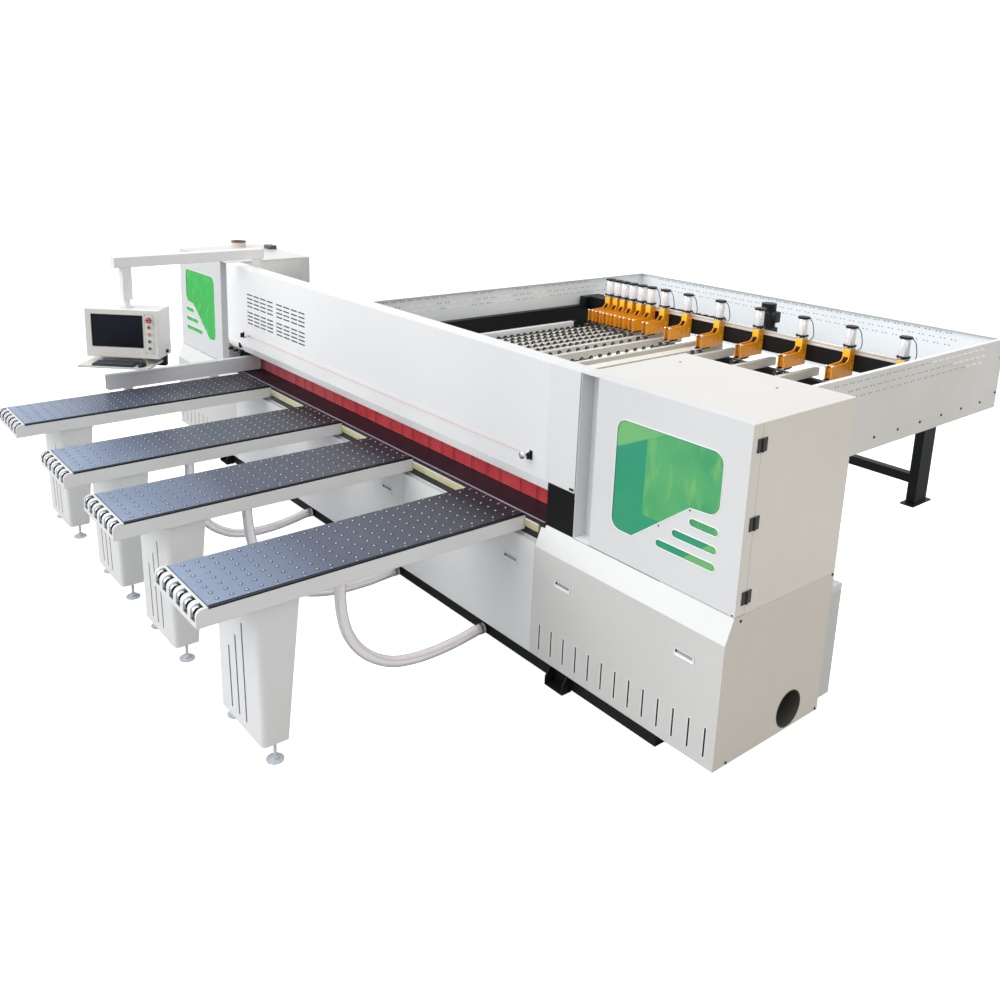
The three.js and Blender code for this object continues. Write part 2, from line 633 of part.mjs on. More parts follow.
function tableFrame(hasRiser) {
  const half = table.width / 2;
  const profile = new THREE.Shape();
  profile.moveTo(tableRearY, table.bottom);
  profile.lineTo(tableRearY, tableTopSeat - fit);
  profile.lineTo(topFrontY, tableTopSeat - fit);
  profile.lineTo(topFrontY, workHeight);
  profile.lineTo(tableFrontY + table.nose, workHeight);
  profile.absarc(tableFrontY + table.nose, workHeight - table.nose, table.nose, Math.PI / 2, Math.PI, false);
  profile.lineTo(tableFrontY, table.bottom);
  profile.closePath();
  const hollow = block(-half + table.wall, half - table.wall, topFrontY, tableRearY + overrun,
    table.bottom + table.wall, tableTopSeat - fit - table.topSheet);
  const pitch = table.width / table.notchCount;
  const notches = [];
  for (let i = 0; i < table.notchCount; i += 1) {
    const x = -half + (i + 0.5) * pitch;
    notches.push(block(x - table.notchWidth / 2, x + table.notchWidth / 2, tableFrontY - overrun,
      tableFrontY + table.notchDepth, workHeight - table.notchHeight, workHeight + overrun));
  }
  const legRight = half - leg.rightInset;
  const legLeft = leg.leftInset - half;
  const legSolid = legShell(legLeft, legRight, leg.bottom, table.bottom + bite, 0);
  const legHollow = legShell(legLeft, legRight, leg.bottom + leg.wall, table.bottom - leg.wall, leg.wall);
  const slots = legSlot.places.map((place, i) => block(legRight - place - legSlot.width / 2,
    legRight - place + legSlot.width / 2, legFrontY - overrun, legFrontY + leg.lean + leg.wall + overrun,
    legSlot.bottom, legSlot.bottom + legSlot.rises[i]));
  const feet = [legLeft + legFoot.inset, legRight - legFoot.inset].flatMap((x) => {
    const y = legFrontY + legFoot.back;
    return [
      bar('z', legFoot.radius, legFoot.height, [x, y, legFoot.height / 2], legFoot.sides),
      bar('z', legFoot.hub, legFoot.hubHeight, [x, y, legFoot.hubHeight / 2], legFoot.sides),
      bar('z', legFoot.stud, leg.bottom, [x, y, leg.bottom / 2 + bite], legFoot.sides),
    ];
  });
  const collar = hasRiser ? [bar('z', riser.radius, riser.collar,
    [0, tableFrontY + riser.inset, table.bottom - riser.collar / 2 + bite], riser.sides)] : [];
  return join(cut(alongX(profile, -half, half), hollow, notches), cut(legSolid, legHollow, slots), feet,
    collar);
}

const tableGroups = table.centreShares.map((share, i) => {
  const group = new THREE.Group();
  group.position.x = share * machineHalfWidth;
  const half = table.width / 2 - tableTop.margin;
  piece(`table_frame_${i + 1}`, tableFrame(i > 0), creamPaint, group);
  piece(`table_top_${i + 1}`, block(-half, half, topFrontY + fit, tableRearY, tableTopSeat, workHeight),
    airTop, group);
  machine.add(group);
  return group;
});

// The side fence stands on brackets at the left of the first table
const fence = {
  width: 55, gap: 6, front: -1180, rear: 155, height: 123, wall: 4, bracket: 60,
  bracketShares: [0.12, 0.75], bracketDrop: 70, ...fromTable({ bottom: 12 }),
};

function sideFence() {
  const right = -table.width / 2 - fence.gap;
  const left = right - fence.width;
  const front = faceY + fence.front;
  const rear = faceY + fence.rear;
  const top = fence.bottom + fence.height;
  const channel = cut(
    block(left, right, front, rear, fence.bottom, top),
    block(left + fence.wall, right - fence.wall, front - overrun, rear + overrun, fence.bottom - overrun,
      top - fence.wall),
  );
  const brackets = fence.bracketShares.map((share) => {
    const y = front + share * (tableRearY - front);
    return block(left + bite, -table.width / 2 - fit, y, y + fence.bracket,
      fence.bottom - fence.bracketDrop, fence.bottom + bite);
  });
  return join(channel, brackets);
}

piece('side_fence', sideFence(), greyPaint, tableGroups[0]);

// Hoses run from the ports on the sled beam, sag to the floor and rise to the tables
const hose = { radius: 32, sides: 10, steps: 26 };
const hoseRoute = [
  [0, 0, 80], [0, -50, 80], [0.05, -130, 71], [0.1, -212, 62], [0.2, -373, 57], [0.3, -530, 69],
  [0.4, -682, 107], [0.5, -810, 181], [0.6, -907, 275], [0.7, -982, 397], [0.8, -1018, 514],
  [0.9, -1034, 615], [1, -1040, 720], [1, -1040, 780],
];

function hoseTube(portX, riserX) {
  const start = sledFrontY - hosePort.collar - fit;
  const end = tableFrontY + riser.inset;
  const run = hoseRoute[hoseRoute.length - 1][1];
  const points = hoseRoute.map(([share, y, z]) =>
    new THREE.Vector3(portX + share * (riserX - portX), start + (y / run) * (end - start), z));
  points.push(new THREE.Vector3(riserX, end, table.bottom - riser.collar + bite - fit));
  const section = new THREE.Shape();
  for (let i = 0; i < hose.sides; i += 1) {
    const angle = (i / hose.sides) * 2 * Math.PI;
    const corner = [hose.radius * Math.cos(angle), hose.radius * Math.sin(angle)];
    if (i === 0) section.moveTo(...corner);
    else section.lineTo(...corner);
  }
  return new THREE.ExtrudeGeometry(section, {
    steps: hose.steps, extrudePath: new THREE.CatmullRomCurve3(points),
  });
}

portPlaces.forEach((portX, i) => {
  const riserX = table.centreShares[i + 1] * machineHalfWidth;
  piece(`hose_${i + 2}`, hoseTube(portX, riserX), clearHose);
});

// The rear table: a black frame, sheet panels round it, and rows of roller rails on the frame
const rear = {
  leftOver: 166, rightInset: 217, sheet: 3, flange: 40, ...fromTable({ panelBottom: -239, panelTop: 410 }),
};
const sideBeam = { width: 80, gap: 43, end: 4790, wall: 6, ...fromTable({ bottom: -180, top: 120 }) };
const crossTie = { height: 80, depth: 80, shares: [0.02, 0.5, 0.97], hangerInset: 730 };
const rearLeg = { depth: 200, footLength: 316, footWidth: 120, foot: 12, yShare: 0.967 };
const lowTie = { bottom: 170, height: 80, depth: 80 };
const panelBracket = { size: 60, shares: [0.05, 0.35, 0.65, 0.95] };
const rail = { width: 50, height: 80, offset: 57, frontInset: 925, end: 4800 };
const middleBeam = { left: -560, width: 120, height: 79 };

const rearLeftX = -(guardInnerX + rear.leftOver);
const rearRightX = guardInnerX - rear.rightInset;
const rearFrontY = guardRearY + fit;
const panelBackY = faceY + rearReach;
const beamLeftX = rearLeftX + rear.sheet + sideBeam.gap;
const beamRightX = rearRightX - rear.sheet - sideBeam.gap;
const sideBeamEndY = faceY + sideBeam.end;
const railTop = workHeight - 30;
const railSeat = railTop - rail.height;
const feedLeft = beamLeftX + sideBeam.width;
const feedRight = beamRightX - sideBeam.width;

function rearFrame() {
  const start = rearFrontY + fit;
  const length = sideBeamEndY - start;
  const beams = [[beamLeftX, feedLeft], [feedRight, beamRightX]].map(([x0, x1]) =>
    block(x0, x1, start, sideBeamEndY, sideBeam.bottom, sideBeam.top));
  const tieTop = railSeat - fit;
  const ties = crossTie.shares.map((share) => {
    const y = start + share * (length - crossTie.depth);
    return block(feedLeft - bite, feedRight + bite, y, y + crossTie.depth, tieTop - crossTie.height, tieTop);
  });
  const legY = start + rearLeg.yShare * (length - rearLeg.depth);
  const legs = [[beamLeftX, feedLeft], [feedRight, beamRightX]].flatMap(([x0, x1]) => {
    const middle = (x0 + x1) / 2;
    const footStart = legY + rearLeg.depth / 2 - rearLeg.footLength / 2;
    return [
      block(x0, x1, legY, legY + rearLeg.depth, rearLeg.foot - bite, sideBeam.bottom + bite),
      block(middle - rearLeg.footWidth / 2, middle + rearLeg.footWidth / 2, footStart,
        footStart + rearLeg.footLength, 0, rearLeg.foot),
    ];
  });
  const tieY = legY + rearLeg.depth / 2 - lowTie.depth / 2;
  const low = block(feedLeft - bite, feedRight + bite, tieY, tieY + lowTie.depth, lowTie.bottom,
    lowTie.bottom + lowTie.height);
  const brackets = panelBracket.shares.flatMap((share) => {
    const y = start + share * (length - panelBracket.size);
    const spans = [
      [rearLeftX + rear.sheet + fit, beamLeftX + bite], [beamRightX - bite, rearRightX - rear.sheet - fit],
    ];
    return spans.map(([x0, x1]) => block(x0, x1, y, y + panelBracket.size, sideBeam.bottom,
      sideBeam.bottom + panelBracket.size));
  });
  const hangerX = guardInnerX - crossTie.hangerInset;
  const hangers = [-1, 1].map((side) =>
    block(side * hangerX, side * (hangerX + sideBeam.width), bedRearY + fit,
      start + crossTie.depth, tieTop - crossTie.height, tieTop));
  const wall = sideBeam.wall;
  const hollows = [[beamLeftX, feedLeft], [feedRight, beamRightX]].map(([x0, x1]) =>
    block(x0 + wall, x1 - wall, start - overrun, sideBeamEndY + overrun, sideBeam.bottom + wall,
      sideBeam.top - wall));
  return cut(join(beams, ties, legs, low, brackets, hangers), hollows);
}

piece('rear_frame', rearFrame(), blackPaint);

// A panel is a sheet with its upper and lower edges folded inwards
function sidePanel(x, inward) {
  const x1 = x + inward * rear.sheet;
  const fold = x + inward * rear.flange;
  const end = panelBackY - rear.sheet - fit;
  return join(
    block(x, x1, rearFrontY, end, rear.panelBottom, rear.panelTop),
    block(x, fold, rearFrontY, end, rear.panelTop - rear.sheet, rear.panelTop),
    block(x, fold, rearFrontY, end, rear.panelBottom, rear.panelBottom + rear.sheet),
  );
}

function backPanel() {
  const inner = panelBackY - rear.flange;
  const front = panelBackY - rear.sheet;
  const left = rearLeftX + rear.flange + fit;
  const right = rearRightX - rear.flange - fit;
  return join(
    block(rearLeftX, rearRightX, front, panelBackY, rear.panelBottom, rear.panelTop),
    block(left, right, inner, panelBackY, rear.panelTop - rear.sheet, rear.panelTop),
    block(left, right, inner, panelBackY, rear.panelBottom, rear.panelBottom + rear.sheet),
  );
}

piece('rear_panel_left', sidePanel(rearLeftX, 1), whitePaint);
piece('rear_panel_right', sidePanel(rearRightX, -1), whitePaint);
piece('rear_panel_back', backPanel(), whitePaint);

const gripperShares = [
  0.0904, 0.1191, 0.1451, 0.1742, 0.2059, 0.2396, 0.2872, 0.3628, 0.4645, 0.5802, 0.6981, 0.8177, 0.9411,
];
const gripperPlaces = gripperShares.map((share) => feedLeft + share * (feedRight - feedLeft));

// Thirteen rails with the wheels' line beside each, tied to two bars and a middle guide beam
function rollerRails() {
  const front = faceY + rail.frontInset;
  const end = faceY + rail.end;
  const bars = gripperPlaces.map((x) => {
    const centre = x + rail.offset;
    return block(centre - rail.width / 2, centre + rail.width / 2, front, end, railSeat, railTop);
  });
  const first = gripperPlaces[0] + rail.offset;
  const last = gripperPlaces[gripperPlaces.length - 1] + rail.offset;
  const ties = [front, (front + end) / 2].map((y) =>
    block(first, last, y, y + rail.width, railSeat, railSeat + rail.width / 2));
  const guide = block(middleBeam.left, middleBeam.left + middleBeam.width, front, end, railSeat,
    railSeat + middleBeam.height);
  return join(bars, ties, guide);
}

piece('roller_rails', rollerRails(), creamPaint);

// The pusher rides on the side beams and carries a gripper over each feed line
const pusher = {
  rearFace: 4777, front: 4607, overhang: 80, shoe: 60, shoeGap: 10, wall: 8,
  ...fromTable({ bottom: 60, top: 218 }),
};
const pusherRail = { height: 44, depth: 40 };
const driveMotor = {
  x: 30, width: 170, height: 270, radius: 75, offset: 90, sides: 12, ...fromTable({ seat: 220 }),
};
const grip = {
  wall: 8, gap: 48, noseY: -355, armFront: -86, knee: -123, web: 6, backPlate: 8,
  ...fromTable({ footTop: 145, bottom: 20, armTop: 274, kneeTop: 152 }),
};
const cylinder = {
  radius: 48, capRadius: 52, sides: 10, capHeight: 18, offset: -45, neck: 26,
  ...fromTable({ top: 488, bottom: 280 }),
};
const fingerPin = { radius: 8, inset: 49, sides: 12, ...fromTable({ z: 115 }) };
const tongue = {
  halfWidth: 13, reach: 90, thickness: 8, root: 150, post: 20, ...fromTable({ bottom: -12 }),
};

const pusherFrontY = faceY + pusher.front;
const pusherRearY = faceY + pusher.rearFace;

function pusherBeam() {
  const body = block(feedLeft + pusher.shoeGap, feedRight - pusher.shoeGap, pusherFrontY, pusherRearY,
    pusher.bottom, pusher.top);
  const shoeReach = pusher.shoeGap + bite;
  const shoes = [[beamLeftX, feedLeft + shoeReach], [feedRight - shoeReach, beamRightX]]
    .map(([x0, x1]) => block(x0, x1, pusherFrontY - pusher.overhang, pusherRearY + pusher.shoe,
      sideBeam.top + fit, pusher.top - bite));
  const half = driveMotor.width / 2;
  const motor = join(
    block(driveMotor.x - half, driveMotor.x + half, pusherRearY - bite,
      pusherRearY + 2 * driveMotor.radius, pusher.bottom, driveMotor.seat),
    bar('z', driveMotor.radius, driveMotor.height, [driveMotor.x, pusherRearY + driveMotor.offset,
      driveMotor.seat + driveMotor.height / 2 - bite], driveMotor.sides),
  );
  const hollow = block(beamLeftX - overrun, beamRightX + overrun, pusherFrontY + pusher.wall,
    pusherRearY - pusher.wall, sideBeam.top + fit + pusher.wall, pusher.top - bite - pusher.wall);
  return cut(join(body, shoes, motor), hollow);
}

const pusherGroup = new THREE.Group();
machine.add(pusherGroup);
piece('pusher_beam', pusherBeam(), blackPaint, pusherGroup);

const gripBackY = pusherFrontY - fit;
const pinY = gripBackY + grip.noseY + fingerPin.inset;

function gripperBody(x) {
  const at = (y, z) => [gripBackY + y, z];
  const side = [
    at(0, grip.bottom), at(0, grip.armTop), at(grip.armFront, grip.armTop),
    at(grip.armFront, grip.kneeTop + (grip.armTop - grip.kneeTop) / 2), at(grip.knee, grip.kneeTop),
    at(grip.noseY, grip.footTop), at(grip.noseY, grip.bottom),
  ];
  const inner = grip.gap / 2;
  const cheeks = [-1, 1].map((s) => alongX(side, x + s * inner, x + s * (inner + grip.wall)));
  const web = block(x - inner - bite, x + inner + bite, gripBackY + grip.armFront,
    gripBackY + grip.armFront + grip.web, grip.kneeTop + (grip.armTop - grip.kneeTop) / 2, grip.armTop);
  const back = block(x - inner - bite, x + inner + bite, gripBackY - grip.backPlate, gripBackY, grip.bottom,
    grip.armTop);
  const lid = block(x - inner - bite, x + inner + bite, gripBackY + grip.armFront, gripBackY,
    grip.armTop - grip.web, grip.armTop);
  const y = gripBackY + cylinder.offset;
  const ram = [
    bar('z', cylinder.neck, cylinder.bottom - grip.armTop + 2 * bite,
      [x, y, (cylinder.bottom + grip.armTop) / 2], cylinder.sides),
    bar('z', cylinder.radius, cylinder.top - cylinder.bottom - cylinder.capHeight,
      [x, y, (cylinder.top + cylinder.bottom - cylinder.capHeight) / 2], cylinder.sides),
    bar('z', cylinder.capRadius, cylinder.capHeight + bite,
      [x, y, cylinder.top - (cylinder.capHeight + bite) / 2], cylinder.sides),
  ];
  const pin = bar('x', fingerPin.radius, 2 * (inner + bite), [x, pinY, fingerPin.z], fingerPin.sides);
  const root = gripBackY + grip.noseY + tongue.root;
  const jaw = [
    block(x - tongue.halfWidth, x + tongue.halfWidth, gripBackY + grip.noseY - tongue.reach, root,
      tongue.bottom, tongue.bottom + tongue.thickness),
    block(x - inner - bite, x + inner + bite, root - tongue.post, root, tongue.bottom + bite,
      grip.bottom + tongue.post),
  ];
  return [...cheeks, web, back, lid, ...ram, pin, ...jaw];
}

function gripperBrackets() {
  const first = gripperPlaces[0] - grip.gap;
  const last = gripperPlaces[gripperPlaces.length - 1] + grip.gap;
  const shelf = block(first, last, gripBackY - bite, gripBackY + pusherRail.depth, pusher.top + fit,
    pusher.top + pusherRail.height);
  return join(shelf, gripperPlaces.flatMap(gripperBody));
}

piece('gripper_brackets', gripperBrackets(), amberPaint, pusherGroup);

// The clamping finger turns on the nose pin: the ram lifts its tail, and its tip comes down
const finger = {
  halfWidth: 20, tail: 190, tailHeight: 12, boss: 22, tipReach: 34, clearance: 0.3,
  ...fromTable({ tipBottom: 32, tipTop: 90 }),
};

function clampFinger() {
  const side = [
    [finger.tail, -finger.tailHeight], [finger.tail, finger.tailHeight], [0, finger.boss],
    [-finger.boss, 0], [-finger.tipReach, finger.tipTop - fingerPin.z],
    [-finger.tipReach, finger.tipBottom - fingerPin.z], [0, finger.tipBottom - fingerPin.z],
    [finger.boss, -finger.boss],
  ];
  const hole = bar('x', fingerPin.radius + finger.clearance, 4 * finger.halfWidth, [0, 0, 0],
    fingerPin.sides);
  return cut(alongX(side, -finger.halfWidth, finger.halfWidth), hole);
}

gripperPlaces.forEach((x, i) => {
  const name = `gripper_finger_${String(i + 1).padStart(2, '0')}`;
  const mesh = piece(name, clampFinger(), bareSteel, pusherGroup);
  mesh.position.set(x, pinY, fingerPin.z);
});

// The saw: a carriage on the runway, a lifting head with two motors, and two blades
const carriage = { halfLength: 250, thickness: 50, ...fromTable({ bottom: -560, top: -190 }) };
const head = {
  halfWidth: 190, depth: 200, body: 100, motorRadius: 85, motorDrop: 124, motorShift: 85,
  ...fromTable({ bottom: -440, top: -200 }),
};
const spindle = { radius: 20, reach: 12, flange: 45, clearance: 0.6, sides: 16 };
const scoring = { radius: 80, offset: 300, rise: 44, thickness: 4.4, boreRadius: 10, spindle: 9.7, arm: 48 };

const sawX = blade.parkInset - machineHalfWidth;
const bladeZ = workHeight - sawTable.thickness - blade.radius - overrun;
const scoringZ = bladeZ + scoring.rise;
const runwayY = bedRearY - bed.wall - runway.reach;
const carriageFrontY = runwayY - fit - carriage.thickness;
const headFrontY = carriageFrontY - fit - head.depth;

function sawCarriage() {
  const plateY = runwayY - fit;
  return block(sawX - carriage.halfLength, sawX + carriage.halfLength, carriageFrontY, plateY,
    carriage.bottom, carriage.top);
}

function sawHead() {
  const bodyFrontY = headFrontY + head.depth - head.body;
  const body = block(sawX - head.halfWidth, sawX + head.halfWidth, bodyFrontY, carriageFrontY - fit,
    head.bottom, head.top);
  const motor = bar('y', head.motorRadius, head.depth - head.body + bite,
    [sawX - head.motorShift, (headFrontY + bodyFrontY + bite) / 2, bladeZ - head.motorDrop], spindle.sides);
  const housing = block(sawX - head.motorShift, sawX + head.motorRadius, headFrontY, bodyFrontY + bite,
    bladeZ - head.motorDrop, head.top);
  const nose = bladeY - blade.thickness / 2 - spindle.reach;
  const length = headFrontY - nose + bite;
  const main = bar('y', spindle.radius - spindle.clearance, length,
    [sawX, nose + length / 2, bladeZ], spindle.sides);
  const seat = bladeY + blade.thickness / 2 + fit;
  const flange = bar('y', spindle.flange, headFrontY - seat + bite,
    [sawX, (headFrontY + seat + bite) / 2, bladeZ], spindle.sides);
  const small = bar('y', scoring.spindle, length, [sawX + scoring.offset, nose + length / 2, scoringZ],
    spindle.sides);
  const boss = bar('y', scoring.spindle * 2, headFrontY - seat + bite,
    [sawX + scoring.offset, (headFrontY + seat + bite) / 2, scoringZ], spindle.sides);
  const arm = block(sawX + head.motorRadius - bite, sawX + scoring.offset + scoring.arm, headFrontY,
    headFrontY + scoring.arm, bladeZ - scoring.arm, scoringZ + scoring.arm / 2);
  return join(body, motor, housing, main, flange, small, boss, arm);
}

function disc(radius, bore, thickness, sides) {
  return cut(bar('y', radius, thickness, [0, 0, 0], sides), bar('y', bore, thickness * 4, [0, 0, 0], 16));
}

const sawGroup = new THREE.Group();
machine.add(sawGroup);
piece('saw_carriage', sawCarriage(), greyPaint, sawGroup);
piece('saw_head', sawHead(), blackPaint, sawGroup);
piece('saw_blade', disc(blade.radius, blade.boreRadius, blade.thickness, 36), bareSteel, sawGroup)
  .position.set(sawX, bladeY, bladeZ);
piece('scoring_blade', disc(scoring.radius, scoring.boreRadius, scoring.thickness, 24), bareSteel, sawGroup)
  .position.set(sawX + scoring.offset, bladeY, scoringZ);

// The console hangs from a swinging arm whose post stands on the beam, behind the cover
const arm = {
  inset: 260, postY: -1652, height: 82, width: 96, post: 40, rear: 42, front: 1242,
  ...fromTable({ bottom: 990 }),
};
const drop = {
  y: -2797, depth: 72, width: 92, neckRadius: 26, flange: 8, sides: 12, ...fromTable({ bottom: 728 }),
};
const box = { width: 600, height: 390, depth: 243, yaw: 47.5, ...fromTable({ top: 663 }) };
const screen = { left: 50, width: 424, bottom: 86, height: 265, depth: 4 };
const buttonStrip = {
  x: 226, width: 80, radius: 11, pitch: 57.5, first: 316, stem: 6, rise: 7, travel: 3, sides: 12,
};
const stopButton = { radius: 20, rise: 20 };
const tray = {
  width: 580, front: 240, offset: -35, drop: 46, thickness: 18, hangerWidth: 400, hangerSheet: 8,
};
const armX = arm.inset - guardInnerX;

function consoleArm() {
  const armTop = arm.bottom + arm.height;
  const postBottom = beam.top + fit;
  const post = bar('z', arm.post, arm.bottom + bite - postBottom,
    [armX, arm.postY, (arm.bottom + bite + postBottom) / 2]);
  const boom = block(armX - arm.width / 2, armX + arm.width / 2, arm.postY - arm.front,
    arm.postY + arm.rear, arm.bottom, armTop);
  const tube = block(armX - drop.width / 2, armX + drop.width / 2, drop.y - drop.depth / 2,
    drop.y + drop.depth / 2, drop.bottom, arm.bottom + bite);
  const neckBottom = box.top + fit;
  const neck = bar('z', drop.neckRadius, drop.bottom + bite - neckBottom,
    [armX, drop.y, (drop.bottom + bite + neckBottom) / 2], drop.sides);
  const flange = bar('z', 2 * drop.neckRadius, drop.flange, [armX, drop.y, neckBottom + drop.flange / 2],
    drop.sides);
  return join(post, boom, tube, neck, flange);
}

piece('console_arm', consoleArm(), whitePaint);

// The box is drawn facing -Y about the drop tube's axis, and turned to face the operator
const consoleGroup = new THREE.Group();
consoleGroup.position.set(armX, drop.y, box.top - box.height);
consoleGroup.rotation.z = THREE.MathUtils.degToRad(box.yaw);
machine.add(consoleGroup);
const boxFront = -box.depth / 2;
const buttonHeights = [0, 1, 2, 3, 4].map((i) => buttonStrip.first - i * buttonStrip.pitch);
const buttonSeat = boxFront + buttonStrip.stem + buttonStrip.travel + overrun;

function consoleBox() {
  const half = box.width / 2;
  const shell = cut(
    block(-half, half, boxFront, -boxFront, 0, box.height),
    block(-half + plate, half - plate, boxFront + plate, -boxFront - plate, -overrun, box.height - plate),
  );
  const left = -half + screen.left;
  const right = left + screen.width;
  const top = screen.bottom + screen.height;
  const window = block(left - plate, right + plate, boxFront + bite, boxFront + 3 * screen.depth,
    screen.bottom - plate, top + plate);
  const face = block(left, right, boxFront - overrun, boxFront + screen.depth, screen.bottom, top);
  const stripHalf = buttonStrip.width / 2;
  const strip = block(buttonStrip.x - stripHalf, buttonStrip.x + stripHalf, boxFront + bite,
    buttonSeat + screen.depth, buttonHeights[4] - stripHalf, buttonHeights[0] + stripHalf);
  const holes = buttonHeights.map((z) => bar('y', buttonStrip.stem + fit, 2 * (buttonSeat - boxFront),
    [buttonStrip.x, boxFront, z], buttonStrip.sides));
  return cut(join(shell, window, strip), face, holes);
}

piece('console_box', consoleBox(), whitePaint, consoleGroup);

function keyboardTray() {
  const centre = tray.offset;
  const half = tray.width / 2;
  const rear = -boxFront;
  const board = block(centre - half, centre + half, -tray.front, rear, -tray.drop - tray.thickness,
    -tray.drop);
  const hanger = block(-tray.hangerWidth / 2, tray.hangerWidth / 2, rear - tray.hangerSheet, rear,
    -tray.drop - bite, -fit);
  return join(board, hanger);
}

piece('keyboard_tray', keyboardTray(), greyPaint, consoleGroup);

function pushButton(radius, rise, name, z, material) {
  const stemEnd = buttonSeat - buttonStrip.travel - fit;
  const stemLength = stemEnd - boxFront + bite;
  const cap = bar('y', radius, rise, [0, -rise / 2 - buttonStrip.travel - fit, 0], buttonStrip.sides);
  const stem = bar('y', buttonStrip.stem, stemLength + buttonStrip.travel,
    [0, (stemLength - buttonStrip.travel) / 2 - bite, 0], buttonStrip.sides);
  const mesh = piece(name, join(cap, stem), material, consoleGroup);
  mesh.position.set(buttonStrip.x, boxFront, z);
}

pushButton(stopButton.radius, stopButton.rise, 'emergency_button', buttonHeights[0], redPlastic);
[redPlastic, amberPlastic, greenPlastic, greenPlastic].forEach((material, i) => {
  pushButton(buttonStrip.radius, buttonStrip.rise, `push_button_${i + 1}`, buttonHeights[i + 1], material);
});

export default machine;
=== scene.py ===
import bpy
import numpy as np
from mathutils import Matrix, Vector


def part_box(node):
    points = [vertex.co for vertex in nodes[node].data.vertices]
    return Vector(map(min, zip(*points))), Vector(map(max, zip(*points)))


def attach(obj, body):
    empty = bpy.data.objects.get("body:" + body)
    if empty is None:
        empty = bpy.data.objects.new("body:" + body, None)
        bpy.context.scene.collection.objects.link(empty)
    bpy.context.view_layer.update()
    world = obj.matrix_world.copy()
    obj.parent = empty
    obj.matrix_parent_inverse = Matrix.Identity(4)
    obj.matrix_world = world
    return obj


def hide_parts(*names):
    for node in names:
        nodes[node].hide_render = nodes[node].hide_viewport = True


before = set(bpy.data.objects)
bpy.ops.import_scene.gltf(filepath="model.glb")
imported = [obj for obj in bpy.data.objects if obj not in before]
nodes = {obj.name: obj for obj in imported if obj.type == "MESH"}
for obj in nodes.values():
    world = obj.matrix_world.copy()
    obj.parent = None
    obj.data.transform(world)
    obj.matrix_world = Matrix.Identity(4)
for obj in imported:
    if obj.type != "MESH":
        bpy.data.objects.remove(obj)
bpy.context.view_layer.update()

# The camera stands at the operator's right hand, about three metres up, and looks along
# the beam to the left rear. Its place was fitted to the photograph's corners.
camera_place = np.array([5.66024, -5.30293, 3.14012])
heading, tilt, roll = np.radians([51.57, 13.703, 1.703])
sensor_width, focal_share = 36, 0.952341
backward = np.array([np.sin(heading) * np.cos(tilt), -np.cos(heading) * np.cos(tilt), np.sin(tilt)])
level = np.cross(-backward, [0, 0, 1])
level /= np.linalg.norm(level)
upright = np.cross(level, -backward)
camera_axes = np.eye(4)
camera_axes[:3, 0] = np.cos(roll) * level + np.sin(roll) * upright
camera_axes[:3, 1] = -np.sin(roll) * level + np.cos(roll) * upright
camera_axes[:3, 2], camera_axes[:3, 3] = backward, camera_place
lens = bpy.data.cameras.new("camera")
lens.sensor_width, lens.lens = sensor_width, sensor_width * focal_share
lens.shift_x, lens.shift_y = 0.029553, -0.144043
lens.clip_end = 200
camera = bpy.data.objects.new("camera", lens)
camera.matrix_world = Matrix(camera_axes.tolist())
bpy.context.scene.collection.objects.link(camera)
bpy.context.scene.camera = camera
bpy.context.scene.view_settings.view_transform = "Standard"

# Three clear hoses of soft plastic, 64 mm across, bring air to tables two, three and four. Each
# is pushed over a collar on the sled beam, sags almost to the floor and rises under its table.


def linear(code):
    """A written colour such as e6e8ea becomes the light values that a shader takes."""
    part = np.array([int(code[i:i + 2], 16) for i in (0, 2, 4)]) / 255
    light = np.where(part <= 0.04045, part / 12.92, ((part + 0.055) / 1.055) ** 2.4)
    return (*light.tolist(), 1.0)


def new_nodes(tree, *kinds):
    """Shader nodes of the given kinds."""
    return [tree.nodes.new("ShaderNode" + kind) for kind in kinds]


def preset(node, values):
    """The node's inputs take these values, by name or by number."""
    for key, value in values.items():
        node.inputs[key].default_value = value


def wire(tree, *links):
    """Each link joins a node's output to another node's input."""
    for source, output, target, entry in links:
        tree.links.new(source.outputs[output], target.inputs[entry])


def new_group(name, entries, results):
    """A node group with its sockets, and the two nodes that stand for them inside it."""
    group = bpy.data.node_groups.new(name, "ShaderNodeTree")
    for label, kind, value in entries:
        socket = group.interface.new_socket(label, in_out="INPUT", socket_type="NodeSocket" + kind)
        socket.default_value = value
    for label, kind in results:
        group.interface.new_socket(label, in_out="OUTPUT", socket_type="NodeSocket" + kind)
    return group, group.nodes.new("NodeGroupInput"), group.nodes.new("NodeGroupOutput")


